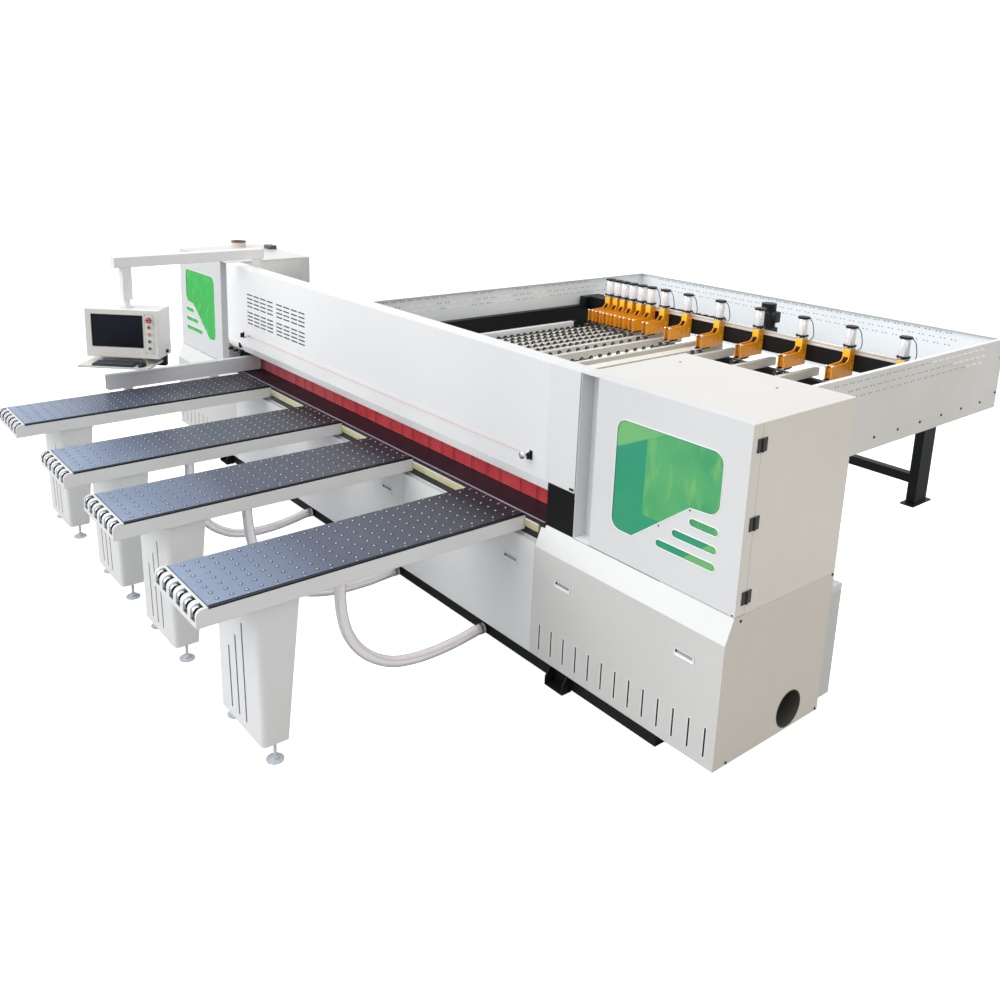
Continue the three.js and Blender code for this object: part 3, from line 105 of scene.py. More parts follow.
def drift_group():
    """A colour drifts towards a shade in wide patches, the gloss drifts with smaller smears, and
    fine grain gives the height of the surface."""
    group, given, result = new_group("surface_drift", (
        ("Colour", "Color", (0.8, 0.8, 0.8, 1)), ("Shade", "Color", (0.7, 0.7, 0.7, 1)),
        ("Roughness", "Float", 0.4), ("Smear", "Float", 0.1), ("Patch", "Float", 1.0),
        ("Grain", "Float", 200.0)), (("Colour", "Color"), ("Roughness", "Float"), ("Height", "Float")))
    place, wide, smear, grain = new_nodes(group, "TexCoord", "TexNoise", "TexNoise", "TexNoise")
    blend, spread, centred, gloss = new_nodes(group, "Mix", "MapRange", "Math", "Math")
    for noise, detail in ((wide, 2.0), (smear, 4.0), (grain, 1.0)):
        preset(noise, {"Detail": detail})
        wire(group, (place, "Object", noise, "Vector"))
    preset(smear, {"Scale": 7.0})
    preset(spread, {"From Min": 0.35, "From Max": 0.65})
    blend.data_type = "RGBA"
    centred.operation, gloss.operation = "SUBTRACT", "MULTIPLY_ADD"
    preset(centred, {1: 0.5})
    wire(group, (given, "Patch", wide, "Scale"), (given, "Grain", grain, "Scale"),
         (wide, "Fac", spread, "Value"), (spread, "Result", blend, "Factor"),
         (given, "Colour", blend, "A"), (given, "Shade", blend, "B"), (blend, "Result", result, "Colour"),
         (smear, "Fac", centred, 0), (centred, 0, gloss, 0), (given, "Smear", gloss, 1),
         (given, "Roughness", gloss, 2), (gloss, 0, result, "Roughness"), (grain, "Fac", result, "Height"))
    return group


surface_drift = drift_group()
fold_angle = np.radians(40)


def finish(name, colour, shade, roughness, smear=0.12, patch=1.2, grain=240.0, relief=0.0003,
           metallic=0.0, coat=0.0, edge=0.0, transmission=0.0, shine=0.5):
    """A Principled surface fed by the drift group, with its grain as relief and softened edges."""
    material = bpy.data.materials.new(name)
    material.use_nodes = True
    tree = material.node_tree
    shader = tree.nodes["Principled BSDF"]
    drift, bump = new_nodes(tree, "Group", "Bump")
    drift.name, drift.node_tree = "drift", surface_drift
    preset(drift, {"Colour": linear(colour), "Shade": linear(shade), "Roughness": roughness,
                   "Smear": smear, "Patch": patch, "Grain": grain})
    preset(bump, {"Strength": 0.35, "Distance": relief})
    preset(shader, {"Metallic": metallic, "Coat Weight": coat, "Coat Roughness": 0.12,
                    "Specular IOR Level": shine, "Transmission Weight": transmission})
    wire(tree, (drift, "Colour", shader, "Base Color"), (drift, "Roughness", shader, "Roughness"),
         (drift, "Height", bump, "Height"), (bump, "Normal", shader, "Normal"))
    if edge:
        soft, = new_nodes(tree, "Bevel")
        soft.samples = 4
        preset(soft, {"Radius": edge})
        wire(tree, (soft, "Normal", bump, "Normal"))
    return material


def skin(rings, wrap=False, filled=True):
    """Four-cornered faces between each ring and the next on the grid rings[k, i]. The first and the
    last ring are filled, or joined to each other when wrap is true."""
    count, around = rings.shape[:2]
    i = np.arange(around)
    j = np.roll(i, -1)
    row = np.arange(count if wrap else count - 1)[:, None]
    after = (row + 1) % count
    quads = np.stack([row * around + i, row * around + j, after * around + j, after * around + i], axis=-1)
    faces = [quads.reshape(-1, 4)]
    if filled and not wrap:
        faces += [i[::-1][None], (i + (count - 1) * around)[None]]
    return rings.reshape(-1, 3), faces


def add_piece(name, shape, material, body="machine", smooth=True, bevel=0.0):
    """The points and faces of a shape go into a mesh that rides on a body of the machine."""
    points, faces = shape
    mesh = bpy.data.meshes.new(name)
    mesh.from_pydata(points.tolist(), [], [face for group in faces for face in group.tolist()])
    mesh.polygons.foreach_set("use_smooth", [smooth] * len(mesh.polygons))
    mesh.materials.append(material)
    piece = bpy.data.objects.new(name, mesh)
    bpy.context.scene.collection.objects.link(piece)
    if smooth:
        mesh.set_sharp_from_angle(angle=fold_angle)
    if bevel:
        rounding = piece.modifiers.new("edges", "BEVEL")
        rounding.width, rounding.segments, rounding.limit_method = bevel, 2, "ANGLE"
    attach(piece, body)
    return piece


def smooth_route(points, steps):
    """A smooth curve through the points: on each leg a cubic whose end slopes follow the points on
    either side, with the square root of each leg's length as its share of time."""
    route = np.asarray(points, float)
    route = np.vstack([2 * route[0] - route[1], route, 2 * route[-1] - route[-2]])
    a, b, c, d = route[:-3], route[1:-2], route[2:-1], route[3:]
    t0, t1, t2 = (np.linalg.norm(q - p, axis=1, keepdims=True) ** 0.5
                  for p, q in ((a, b), (b, c), (c, d)))
    slope_b = ((b - a) / t0 - (c - a) / (t0 + t1) + (c - b) / t1) * t1
    slope_c = ((c - b) / t1 - (d - b) / (t1 + t2) + (d - c) / t2) * t1
    t = (np.arange(steps) / steps)[None, :, None]
    legs = ((2 * t ** 3 - 3 * t ** 2 + 1) * b[:, None] + (t ** 3 - 2 * t ** 2 + t) * slope_b[:, None]
            + (3 * t ** 2 - 2 * t ** 3) * c[:, None] + (t ** 3 - t ** 2) * slope_c[:, None])
    return np.vstack([legs.reshape(-1, 3), route[-2:-1]])


def tube_along(route, radius, sides, across=(1, 0, 0)):
    """A circle carried along a route: centre + radius (cos a * side + sin a * over), where side is
    the across direction made square to the route, and over is square to both."""
    slope = np.gradient(route, axis=0)
    slope /= np.linalg.norm(slope, axis=1, keepdims=True)
    side = np.asarray(across, float) - slope * (slope @ np.asarray(across, float))[:, None]
    side /= np.linalg.norm(side, axis=1, keepdims=True)
    over = np.cross(slope, side)
    a = np.linspace(0, 2 * np.pi, sides, endpoint=False)[None, :, None]
    return route[:, None] + radius * (np.cos(a) * side[:, None] + np.sin(a) * over[:, None])


hose_plastic = finish("clear_hose_plastic", "fefdff", "f8f7fc", 0.2, grain=60.0, relief=0.0006,
                      coat=0.3, transmission=0.45, patch=3.0)
red_line = finish("red_hose_line", "e89aa4", "e08c98", 0.4)
blue_line = finish("blue_hose_line", "a9b5cf", "9daac6", 0.4)
clamp_steel = finish("hose_clamp_steel", "9c9ea0", "7c7e81", 0.3, metallic=0.9)
port_y, hose_run, hose_radius = -1.8538, 1.0657, 0.032
hose_shares = np.array([0, 0, 0.05, 0.1, 0.2, 0.3, 0.4, 0.5, 0.6, 0.7, 0.8, 0.9, 1, 1, 1])
hose_reach = np.array([0, -50, -130, -212, -373, -530, -682, -810, -907, -982, -1018, -1034, -1040,
                       -1040, -1040]) / 1040
hose_height = np.array([80, 80, 71, 62, 57, 69, 107, 181, 275, 397, 514, 615, 720, 780, 824.7]) / 1000
for number, port, rise in ((2, -0.67984, -0.4769115), (3, 0.55987, 0.4501410), (4, 1.52195, 1.5900355)):
    line = smooth_route(np.stack([port + hose_shares * (rise - port), port_y + hose_reach * hose_run,
                                  hose_height], axis=1), 8)
    rings = tube_along(line, hose_radius, 20)
    hose = add_piece(f"air_hose_{number}", skin(rings), hose_plastic)
    for colour, paint, place in (("red", red_line, 2), ("blue", blue_line, 17)):
        add_piece(f"{colour}_hose_line_{number}", skin(tube_along(rings[:, place], 0.0014, 6)), paint)
    middle = rings.mean(axis=1, keepdims=True)
    for end, part in (("lower", slice(3, 6)), ("upper", slice(-6, -3))):
        add_piece(f"{end}_hose_clamp_{number}", skin(middle[part] + 1.07 * (rings - middle)[part]),
                  clamp_steel)
    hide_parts(f"hose_{number}")

# Black air tubes of nylon, 8 mm across, are pushed into a fitting on the cap of each wide-set
# gripper's cylinder and loop down to the rail. The five close-set grippers on the left have none.
tube_black = finish("black_tube", "131416", "1b1d1f", 0.42, shine=0.25)
gripper_shares = np.array([0.0904, 0.1191, 0.1451, 0.1742, 0.2059, 0.2396, 0.2872, 0.3628, 0.4645,
                           0.5802, 0.6981, 0.8177, 0.9411])
gripper_x = -2.27 + 4.157 * gripper_shares
grip_back = 2.779
for number, x in enumerate(gripper_x[5:], 6):
    corners = np.array([[0.046, -0.030, 1.437], [0.078, -0.022, 1.405], [0.088, -0.008, 1.345],
                        [0.087, 0.008, 1.290], [0.074, 0.018, 1.245], [0.052, 0.022, 1.226]])
    line = smooth_route(corners + [x, grip_back, 0], 5)
    tube = add_piece(f"air_tube_{number:02d}", skin(tube_along(line, 0.004, 8)), tube_black,
                     "pusher")

# The mouse's beige cable of soft plastic, 4.4 mm across, runs from the mouse to the screen box.
# Everything on the box is drawn about its axis and then turned with it.
cable_beige = finish("beige_cable", "cfc3a6", "c2b595", 0.45)
box_axis, box_turn = np.array([-1.970, -2.797, 1.233]), np.radians(47.5)


def on_console(points):
    """Points drawn with the box's front towards -Y, turned by its angle and moved to its axis."""
    x, y, z = np.moveaxis(np.asarray(points, float), -1, 0)
    c, s = np.cos(box_turn), np.sin(box_turn)
    return np.stack([c * x - s * y, s * x + c * y, z], axis=-1) + box_axis


line = smooth_route(on_console([[0.186, -0.150, -0.034], [0.200, -0.134, -0.030], [0.198, -0.120, -0.022],
                                [0.178, -0.112, -0.012], [0.150, -0.110, -0.004]]), 6)
cable = add_piece("mouse_cable", skin(tube_along(line, 0.0022, 8)), cable_beige,
                  "console_box")

# The safety rope: a thin line of red plastic, tied between two chrome knobs and held taut along
# the cover. Pulling it anywhere stops the machine.
rope_red = finish("red_rope", "eba2a7", "e2949b", 0.5, grain=900.0, relief=0.0004)
line = np.linspace([-1.779, -1.8430, 1.3130], [1.829, -1.8430, 1.3200], 40)
line[:, 2] -= 0.004 * np.sin(np.linspace(0, np.pi, 40))
rope = add_piece("safety_rope", skin(tube_along(line, 0.0015, 8, across=(0, 1, 0))), rope_red)

# The base: black sled beams with levelling pads and fork pockets, and the bed that is hidden
# between them and the covers. Both are welded from steel and painted.


def dress(material, *names):
    """Nodes of the machine take a finish in place of the plain one."""
    for name in names:
        nodes[name].data.materials.clear()
        nodes[name].data.materials.append(material)


black_paint = finish("black_paint", "0e1011", "15181a", 0.45, edge=0.003, grain=320.0, shine=0.2)
cream_paint = finish("cream_paint", "e4e2da", "dcd9cf", 0.42, coat=0.1, edge=0.003)
dress(black_paint, "base_frame")
dress(cream_paint, "machine_bed", "beam_frame")

# Covers of white sheet are screwed round the base. Each end cover has thirteen slots, two pull
# pockets and a suction hole, and the centre sheets end in a ledge under a dark sloped apron.


def zone_group():
    """A mask that rises from nought to one where a place, measured along a direction, passes an edge,
    over the given width."""
    group, given, result = new_group("zone_mask", (
        ("Direction", "Vector", (0, 0, 0)), ("Edge", "Float", 0.0), ("Width", "Float", 0.0001)),
        (("Mask", "Float"),))
    place, along, past, over = new_nodes(group, "TexCoord", "VectorMath", "Math", "Math")
    along.operation, past.operation, over.operation = "DOT_PRODUCT", "SUBTRACT", "DIVIDE"
    over.use_clamp = True
    wire(group, (place, "Object", along, 0), (given, "Direction", along, 1), (along, "Value", past, 0),
         (given, "Edge", past, 1), (past, 0, over, 0), (given, "Width", over, 1), (over, 0, result, "Mask"))
    return group


zone_mask = zone_group()


def lay_over(tree, mask, colour):
    """Where the mask is one, the surface takes another colour: a socket's, or written light values."""
    shader = tree.nodes["Principled BSDF"]
    blend, = new_nodes(tree, "Mix")
    blend.data_type = "RGBA"
    tree.links.new(mask, blend.inputs["Factor"])
    tree.links.new(shader.inputs["Base Color"].links[0].from_socket, blend.inputs["A"])
    if isinstance(colour, tuple):
        blend.inputs["B"].default_value = colour
    else:
        tree.links.new(colour, blend.inputs["B"])
    wire(tree, (blend, "Result", shader, "Base Color"))


def zoned(material, *zones):
    """Past an edge, along a direction, the surface turns to a second colour over a width. A zone is
    (direction, edge, colour, shade), with its width as a fifth value where it is a soft one."""
    tree = material.node_tree
    for direction, edge, colour, shade, *width in zones:
        zone, second = new_nodes(tree, "Group", "Group")
        zone.node_tree, second.node_tree = zone_mask, surface_drift
        preset(zone, {"Direction": direction, "Edge": edge, "Width": width[0] if width else 0.0001})
        preset(second, {"Colour": linear(colour), "Shade": linear(shade)})
        lay_over(tree, zone.outputs["Mask"], second.outputs["Colour"])
    return material


right, left, back, up, down = (1, 0, 0), (-1, 0, 0), (0, 1, 0), (0, 0, 1), (0, 0, -1)
side_face, hinge_face = 3.3042, 3.3052
# Painted light: below the chamfer, at z 0.82, the base covers are painted darker as painted shade, and
# their right end face takes a warmer, darker tone as painted side light.
white_paint = zoned(finish("white_paint", "dcdede", "d8dadb", 0.32, smear=0.04, coat=0.15, edge=0.004),
                    (down, -0.82, "cdcecc", "c9cac8"), (right, side_face, "dbd5cb", "d6d0c6"))
panel_paint = zoned(finish("panel_paint", "e4e6e8", "dfe1e3", 0.32, smear=0.04, coat=0.15, edge=0.003),
                    ((0, 0.42, 1), 0.0692, "121216", "1a191b"))
dress(panel_paint, "front_panels")
dress(white_paint, "right_base_cover", "left_base_cover")


def set_along(points, axis):
    """Points drawn as (a, b, along) are turned so that their third number runs along the axis."""
    return np.roll(points, {"x": 1, "y": -1, "z": 0}[axis], axis=-1)


def rounded_loop(width, height, radius, steps=4):
    """A rectangle about the origin whose corners are quarter circles, as a closed row of points."""
    angle = (np.arange(4)[:, None] * np.pi / 2 + np.linspace(0, np.pi / 2, steps)[None]).ravel()
    corner = np.repeat([[1, 1], [-1, 1], [-1, -1], [1, -1]], steps, axis=0)
    middle = corner * (np.array([width, height]) / 2 - radius)
    return middle + radius * np.stack([np.cos(angle), np.sin(angle)], axis=1)


def soft_block(lowest, highest, corner=0.002, edge=0.001, axis="z", steps=3, edge_steps=2):
    """A rounded rectangle carried along the axis, drawn in at both ends by a quarter circle:
    inset = edge (1 - cos t) and distance from the end = edge (1 - sin t). A point on a middle line
    stays on it."""
    lowest, highest = np.asarray(lowest, float), np.asarray(highest, float)
    shift = {"x": -1, "y": 1, "z": 0}[axis]
    size, middle = np.roll(highest - lowest, shift), np.roll((highest + lowest) / 2, shift)
    t = np.linspace(np.pi / 2, 0, edge_steps + 1)
    inset = np.concatenate([edge * (1 - np.cos(t)), edge * (1 - np.cos(t[::-1]))])[:, None, None]
    along = np.concatenate([edge * (1 - np.sin(t)), size[2] - edge * (1 - np.sin(t[::-1]))]) - size[2] / 2
    loop = rounded_loop(size[0], size[1], corner, steps)
    heights = np.broadcast_to(along[:, None, None], (len(along), len(loop), 1))
    rings = np.concatenate([loop - inset * loop / (np.abs(loop) + 1e-9), heights], axis=2)
    return skin(set_along(rings + middle, axis))


def turned(profile, axis="z", sides=16, wrap=False, centre=(0, 0, 0)):
    """A profile of (radius, along) pairs is turned round the axis through the centre."""
    a = np.linspace(0, 2 * np.pi, sides, endpoint=False)
    radius, along = np.asarray(profile, float).T
    rings = np.stack([radius[:, None] * np.cos(a), radius[:, None] * np.sin(a),
                      np.broadcast_to(along[:, None], (len(radius), sides))], axis=-1)
    points, faces = skin(set_along(rings, axis), wrap=wrap)
    return points + np.asarray(centre, float), faces


def moved(shape, shift, scale=1):
    """The shape drawn larger or smaller about the origin and then shifted."""
    return shape[0] * scale + shift, shape[1]


def outside_in(shape):
    """The same shape with every face counted the other way."""
    return shape[0], [group[:, ::-1] for group in shape[1]]


def mirrored(shape):
    """The shape as it stands on the machine's other side."""
    return outside_in(moved(shape, 0, [-1, 1, 1]))


def grid(xs, ys, zs):
    """Every point whose numbers are one of the xs, one of the ys and one of the zs."""
    return np.stack(np.meshgrid(xs, ys, zs, indexing="ij"), axis=-1).reshape(-1, 3)


def repeated(shape, places):
    """The same shape at every place of a list of (x, y, z) shifts."""
    points, faces = shape
    places = np.asarray(places, float)
    count, step = len(places), len(points)
    shift = (np.arange(count) * step)[:, None, None]
    return ((places[:, None] + points[None]).reshape(-1, 3),
            [(group[None] + shift).reshape(-1, group.shape[1]) for group in faces])


def framed_pocket(width, height, lip, rise, sink):
    """A rounded ring stands on the sheet and falls inside to the pocket's floor: loops of shrinking
    size at depths that go out by rise and back in by sink."""
    steps = np.array([[0.0, 0.0], [0.0, -rise], [lip * 0.4, -rise * 1.3], [lip, -rise],
                      [lip * 1.2, sink * 0.6], [lip * 1.9, sink]])
    loops = np.stack([rounded_loop(width - 2 * s, height - 2 * s, max(0.006 - s, 0.0015))
                      for s in steps[:, 0]])
    depths = np.broadcast_to(steps[:, 1, None], loops.shape[:2])
    points, (quads,) = skin(np.stack([loops[..., 0], depths, loops[..., 1]], axis=-1), filled=False)
    floor = (np.arange(loops.shape[1]) + (len(steps) - 1) * loops.shape[1])[None]
    return points, [quads, floor]


def closed_rim(loop, normal, radius, sides=6):
    """A round bead along a closed flat outline: loop + radius (cos a * outward + sin a * normal), with
    outward square to the outline's slope and to the normal."""
    loop, normal = np.asarray(loop, float), np.asarray(normal, float)
    outward = np.cross(np.roll(loop, -1, axis=0) - np.roll(loop, 1, axis=0), normal)
    outward /= np.linalg.norm(outward, axis=1, keepdims=True)
    a = np.linspace(0, 2 * np.pi, sides, endpoint=False)[None, :, None]
    return skin(loop[:, None] + radius * (np.cos(a) * outward[:, None] + np.sin(a) * normal), wrap=True)


def upright_rim(outline, radius, y=0, normal=-1):
    """A bead along an outline of (x, z) pairs that stands upright at one depth y."""
    outline = np.asarray(outline, float)
    loop = np.stack([outline[:, 0], np.full(len(outline), y), outline[:, 1]], axis=1)
    return closed_rim(loop, (0, normal, 0), radius)


base_front = -1.8795
pull_places = grid((-3.079, -2.223, -0.8666, 0.4565, 1.7797, 2.223, 3.079), base_front, 0.664)
pull_white = finish("pull_frame_plastic", "eeeff0", "e6e7e8", 0.35)
# Painted shade: this grey stands for shade in the pull pockets, along their outline beads and in the gap
# beside the right door.
pocket_shade_grey = finish("pull_pocket_painted_shade", "9fa2a4", "8d9092", 0.5)
# Painted shade: a near-black sheet put where there is only shade: behind the end covers' slots, at the end
# of each pull pocket and in the gap under each cabinet.
painted_shade_dark = finish("painted_shade_black", "141516", "1e1f20", 0.7, grain=500.0, relief=0.001)
# Painted highlight: a bright white for light caught on the slot and window edges and on the recess floors;
# on the console's stop marks the same white is their real print.
highlight_and_mark_white = finish("edge_highlight_and_mark_white", "fbfcfd", "f4f5f7", 0.35, coat=0.2)
# Painted shade: the inside of each suction mouth is painted a dark grey-brown.
duct_shade = finish("duct_inside_painted_shade", "35332f", "45423d", 0.6, grain=60.0)
cup = soft_block((-0.050, 0.0002, -0.004), (0.052, 0.0016, 0.0160), 0.003, 0.0004, axis="y")
cup_end = soft_block((-0.054, -0.0004, -0.004), (-0.043, 0.0016, 0.0135), 0.003, 0.0004, axis="y")
# Painted shade: in each pull pocket the grey cup shows as the shaded band under the lip, the near-black end
# as its shaded end, and the grey bead as a shaded outline.
for name, shape, paint, slot in (
        ("pull_frames", framed_pocket(0.124, 0.042, 0.0045, 0.002, 0.0012), pull_white, "white_paint"),
        ("pull_cups", cup, pocket_shade_grey, "grey_paint"), ("pull_ends", cup_end, painted_shade_dark, "black_paint"),
        ("pull_outlines", upright_rim(rounded_loop(0.1265, 0.0445, 0.007), 0.0011), pocket_shade_grey,
         "grey_paint")):
    add_piece(name, repeated(shape, pull_places), paint)
first_vent, vent_span = 1.985 + 0.073, 1.184
vent_x = first_vent + vent_span / 12 * np.arange(13)
vent_rim = upright_rim(rounded_loop(0.0145, 0.1655, 0.005), 0.0016)
vent_places = grid(np.concatenate([vent_x, -vent_x]), base_front, 0.2785)
# Painted highlight: a bright white bead round each slot.
add_piece("slot_edges", repeated(vent_rim, vent_places), highlight_and_mark_white)
mouth = [(0.104, -0.001), (0.104, 0.0012), (0.1015, 0.0012), (0.100, -0.003), (0.099, -0.09), (0.02, -0.09)]
points, faces = turned(mouth, axis="x", sides=32, centre=(hinge_face, -1.2785, 0.262))
suction_mouth = (points, faces[::2])
# Painted shade: a near-black sheet behind each end cover's slots makes them read dark.
shade_sheet_low, shade_sheet_high = (2.035, base_front + 0.0035, 0.182), (3.26, base_front + 0.0055, 0.38)
slot_shade_sheet = soft_block(shade_sheet_low, shade_sheet_high, 0.004, 0.0006, axis="y")
for name, sheet, duct in (("right", slot_shade_sheet, suction_mouth),
                          ("left", mirrored(slot_shade_sheet), mirrored(suction_mouth))):
    add_piece(f"{name}_slot_shade_sheet", sheet, painted_shade_dark)
    add_piece(f"{name}_suction_mouth", duct, duct_shade)

# Button-head screws of black steel hold each end sheet of the base at its corners. The heads are
# domes with a small socket.


def together(*shapes):
    """Several shapes as one: the faces of each count on from the points before it."""
    starts = np.cumsum([0] + [len(points) for points, _ in shapes])
    return (np.concatenate([points for points, _ in shapes]),
            [group + start for (_, faces), start in zip(shapes, starts) for group in faces])


screw_steel = finish("black_screw", "17181a", "222325", 0.4, metallic=0.6)
dome = turned([(0.008, 0.0), (0.0078, 0.002), (0.006, 0.0038), (0.003, 0.0046), (0.0028, 0.0030)],
              axis="x", sides=10)
base_end = 3.305
heads = repeated(dome, [(base_end, -1.777, 0.920), (base_end, -1.014, 0.940), (base_end, -1.020, 0.162),
                        (base_end, -1.780, 0.162)])
add_piece("end_sheet_screws", together(heads, mirrored(heads)), screw_steel)

# The saw table is a ground plate with a dark polished face and the blade's slot in it. A light
# metal strip lies along its front edge, where the air tables meet it.
table_dark = finish("dark_table_face", "261d27", "2d232c", 0.45, smear=0.1, patch=2.5, grain=120.0,
                    shine=0.18)
dress(zoned(table_dark, (right, 2.0142, "060708", "0b0c0d"), (down, -0.9298, "121216", "19181b")),
      "saw_table")
strip_metal = finish("front_strip_metal", "b3b5c0", "a3a6b3", 0.4, metallic=0.3, grain=160.0)
add_piece("table_front_strip", soft_block((-1.965, -1.8393, 0.9585), (2.013, -1.8275, 0.9618), 0.0006,
                                          0.0006, axis="x"), strip_metal)

# A zinc-plated rail with a cream cap is bolted under the strip, and shows between one air table
# and the next. Each gap has a length of its own.


def blocks(*rows, axis="z"):
    """Several soft blocks as one. A row is (lowest, highest), or goes on with corner and edge."""
    return together(*(soft_block(*row, axis=axis) for row in rows))


zinc = finish("zinc_plate", "cfcf9f", "c3bd97", 0.35, smear=0.2, patch=9.0, metallic=0.3)
rail_gaps = [(-1.374, -0.741), (-0.213, 0.186), (0.714, 1.326), (1.854, 1.975)]
for label, paint, front, low, high in (("rails", zinc, -1.8500, 0.890, 0.9335),
                                       ("caps", cream_paint, -1.8530, 0.9330, 0.9360)):
    lengths = blocks(*(((start, front, low), (end, -1.8270, high), 0.001, 0.0005)
                       for start, end in rail_gaps), axis="x")
    add_piece(f"front_rail_{label}", lengths, paint)

# The beam's cover is folded from white sheet, with four blocks of pressed slots near its left end
# and a sloped lip along its foot. Two bent brackets and two chrome knobs on it hold the rope.


def plate(corners, start, end, axis):
    """A closed outline of (a, b) corners, counted the way that faces the axis, pushed from start to
    end."""
    corners = np.asarray(corners, float)
    rings = np.stack([np.column_stack([corners, np.full(len(corners), value)]) for value in (start, end)])
    return skin(set_along(rings, axis))


beam_front = -1.8275
# Painted light: the cover turns lighter towards its left end, and white below z 1.2035 on its sloped lip.
cover_paint = zoned(
    finish("cover_paint", "dfe0e2", "dcdee0", 0.3, smear=0.03, patch=0.6, coat=0.2, edge=0.004),
    (left, -1.984, "e4e5e7", "e1e3e5"), (left, -1.6, "fbfcfd", "f8f9fb", 3.2),
    (down, -1.2035, "ffffff", "fbfeff"))
dress(cover_paint, "beam_cover")
lip_profile = [(beam_front, 1.3405), (-1.8281, 1.3405), (-1.8281, 1.204), (-1.7975, 1.138),
               (-1.7945, 1.1395), (-1.8250, 1.206)]
add_piece("cover_lip", plate(lip_profile, -2.2225, 2.0135, "x"), cover_paint, smooth=False)
slot_x = (-1.763, -1.639, -1.516, -1.389, -1.224, -1.101, -0.972, -0.850)
slot_z = (1.671, 1.636, 1.603, 1.570, 1.517, 1.485, 1.454, 1.423)
louvre = soft_block((-0.052, -0.0012, -0.0055), (0.052, 0.0004, 0.0055), 0.0052, 0.0008, axis="y",
                    edge_steps=1)
add_piece("cover_slots", repeated(louvre, grid(slot_x, beam_front, slot_z)),
          finish("slot_shadow", "34383c", "4a4e52", 0.6))
chrome = finish("chrome", "e4e6e8", "c3c6ca", 0.12, smear=0.05, metallic=1.0)
knob = outside_in(turned([(0.004, 0.0), (0.009, -0.002), (0.010, -0.010), (0.007, -0.014), (0.007, -0.024),
                          (0.015, -0.027), (0.0175, -0.034), (0.015, -0.041), (0.006, -0.044)],
                         axis="y", sides=20))
add_piece("rope_knobs", together(moved(knob, [-1.789, -1.8270, 1.313]),
                                 moved(knob, [1.839, -1.8270, 1.320], 1.35)), chrome)
bracket = blocks(((-0.006, -0.030, -0.020), (0.006, 0.0005, 0.020), 0.003, 0.001),
                 ((-0.012, -0.004, -0.028), (0.012, 0.0005, 0.028), 0.003, 0.001), axis="y")
add_piece("rope_brackets", repeated(bracket, [(-1.903, beam_front, 1.297), (1.862, beam_front, 1.318)]),
          black_paint)
end_strip = soft_block((-2.2200, -1.8250, 1.165), (-2.020, -1.8120, 1.190), 0.003, 0.001, axis="y")
add_piece("cover_end_strip", end_strip, cream_paint)
clip_places = ((-1.989, 1.188, 0.022), (-2.208, 1.115, 0.010), (-2.111, 1.116, 0.009),
               (-1.987, 1.128, 0.014), (2.200, 1.220, 0.006))
clips = blocks(*(((x - 0.016, -1.8330, z - half), (x + 0.016, -1.7950, z + half), 0.004, 0.002)
                 for x, z, half in clip_places), axis="y")
add_piece("cover_end_clips", clips, black_paint)

# The pressure beam is painted grey steel, and red dust strips of thick glossy plastic hang from
# a holder in front of it, cut into tongues that the boards push aside.
press_grey = finish("pressure_beam_paint", "b4b9bb", "a6abae", 0.4, edge=0.003)
strip_red = finish("red_strip", "dc4a52", "cf3a43", 0.25, smear=0.2, patch=5.0, grain=30.0,
                   relief=0.0012, coat=0.4)
dress(press_grey, "pressure_beam")
dress(zoned(strip_red, (left, 0.2, "e58489", "d8727a", 2.0), (down, -0.966, "171416", "241c1e")),
      "dust_strips")
joint_x = -1.947 + np.cumsum(np.tile([0.198, 0.150, 0.130], 8))
joint_line = soft_block((-0.0018, -1.6634, 0.968), (0.0018, -1.6622, 1.229), 0.001, 0.0004)
add_piece("strip_joints", repeated(joint_line, grid(joint_x, 0, 0)),
          finish("strip_joint_shadow", "5c1218", "701a20", 0.5, shine=0.2))

# The end cabinets are folded from white sheet, with a recess beside each door. Their hinges are
# black, and a green see-through sheet closes the window from behind.
# Painted light: the right end faces of the cabinet and door are painted a warmer tone, as painted side
# light.
side_warm_painted_light = (right, side_face, "e6e2d9", "e1ddd3")
hinge_blacks = [(direction, hinge_face, "17181a", "222426") for direction in (right, left)]
# Painted shade: the cabinet tops, above z 1.8866, are painted a darker, warmer grey.
cabinet_paint = zoned(
    finish("cabinet_paint", "dfe1e3", "dadcdf", 0.32, smear=0.04, patch=0.8, coat=0.15, edge=0.004),
    (up, 1.8866, "dcdad6", "d8d6d1"), side_warm_painted_light, *hinge_blacks)
door_paint = zoned(
    finish("door_paint", "d9dbdd", "d5d7da", 0.32, smear=0.04, patch=0.7, coat=0.15, edge=0.004),
    side_warm_painted_light, *hinge_blacks)
dress(cabinet_paint, "right_guard_box", "left_guard_box")
dress(door_paint, "right_door", "left_door")


def reflection_streaked_sheet(name, colour, shade, reflection_colour, scale, lean):
    """Tinted sheet: the drift's colour with long soft streaks of a lighter one across it, painted
    reflections on the sheet.
    """
    material = finish(name, colour, shade, 0.15, patch=3.5, smear=0.05, coat=0.15, relief=0.0001, shine=0.3)
    tree = material.node_tree
    place, turner, noise, spread = new_nodes(tree, "TexCoord", "Mapping", "TexNoise", "MapRange")
    preset(turner, {"Rotation": lean, "Scale": scale})
    preset(noise, {"Scale": 1.0, "Detail": 5.0})
    preset(spread, {"From Min": 0.52, "From Max": 0.72})
    wire(tree, (place, "Object", turner, "Vector"), (turner, "Vector", noise, "Vector"),
         (noise, "Fac", spread, "Value"))
    lay_over(tree, spread.outputs["Result"], linear(reflection_colour))
    return material


right_sheet = reflection_streaked_sheet("right_green_sheet", "5aad70", "459f69", "78bb6e", (17, 17, 5), (0, 0.45, 0))
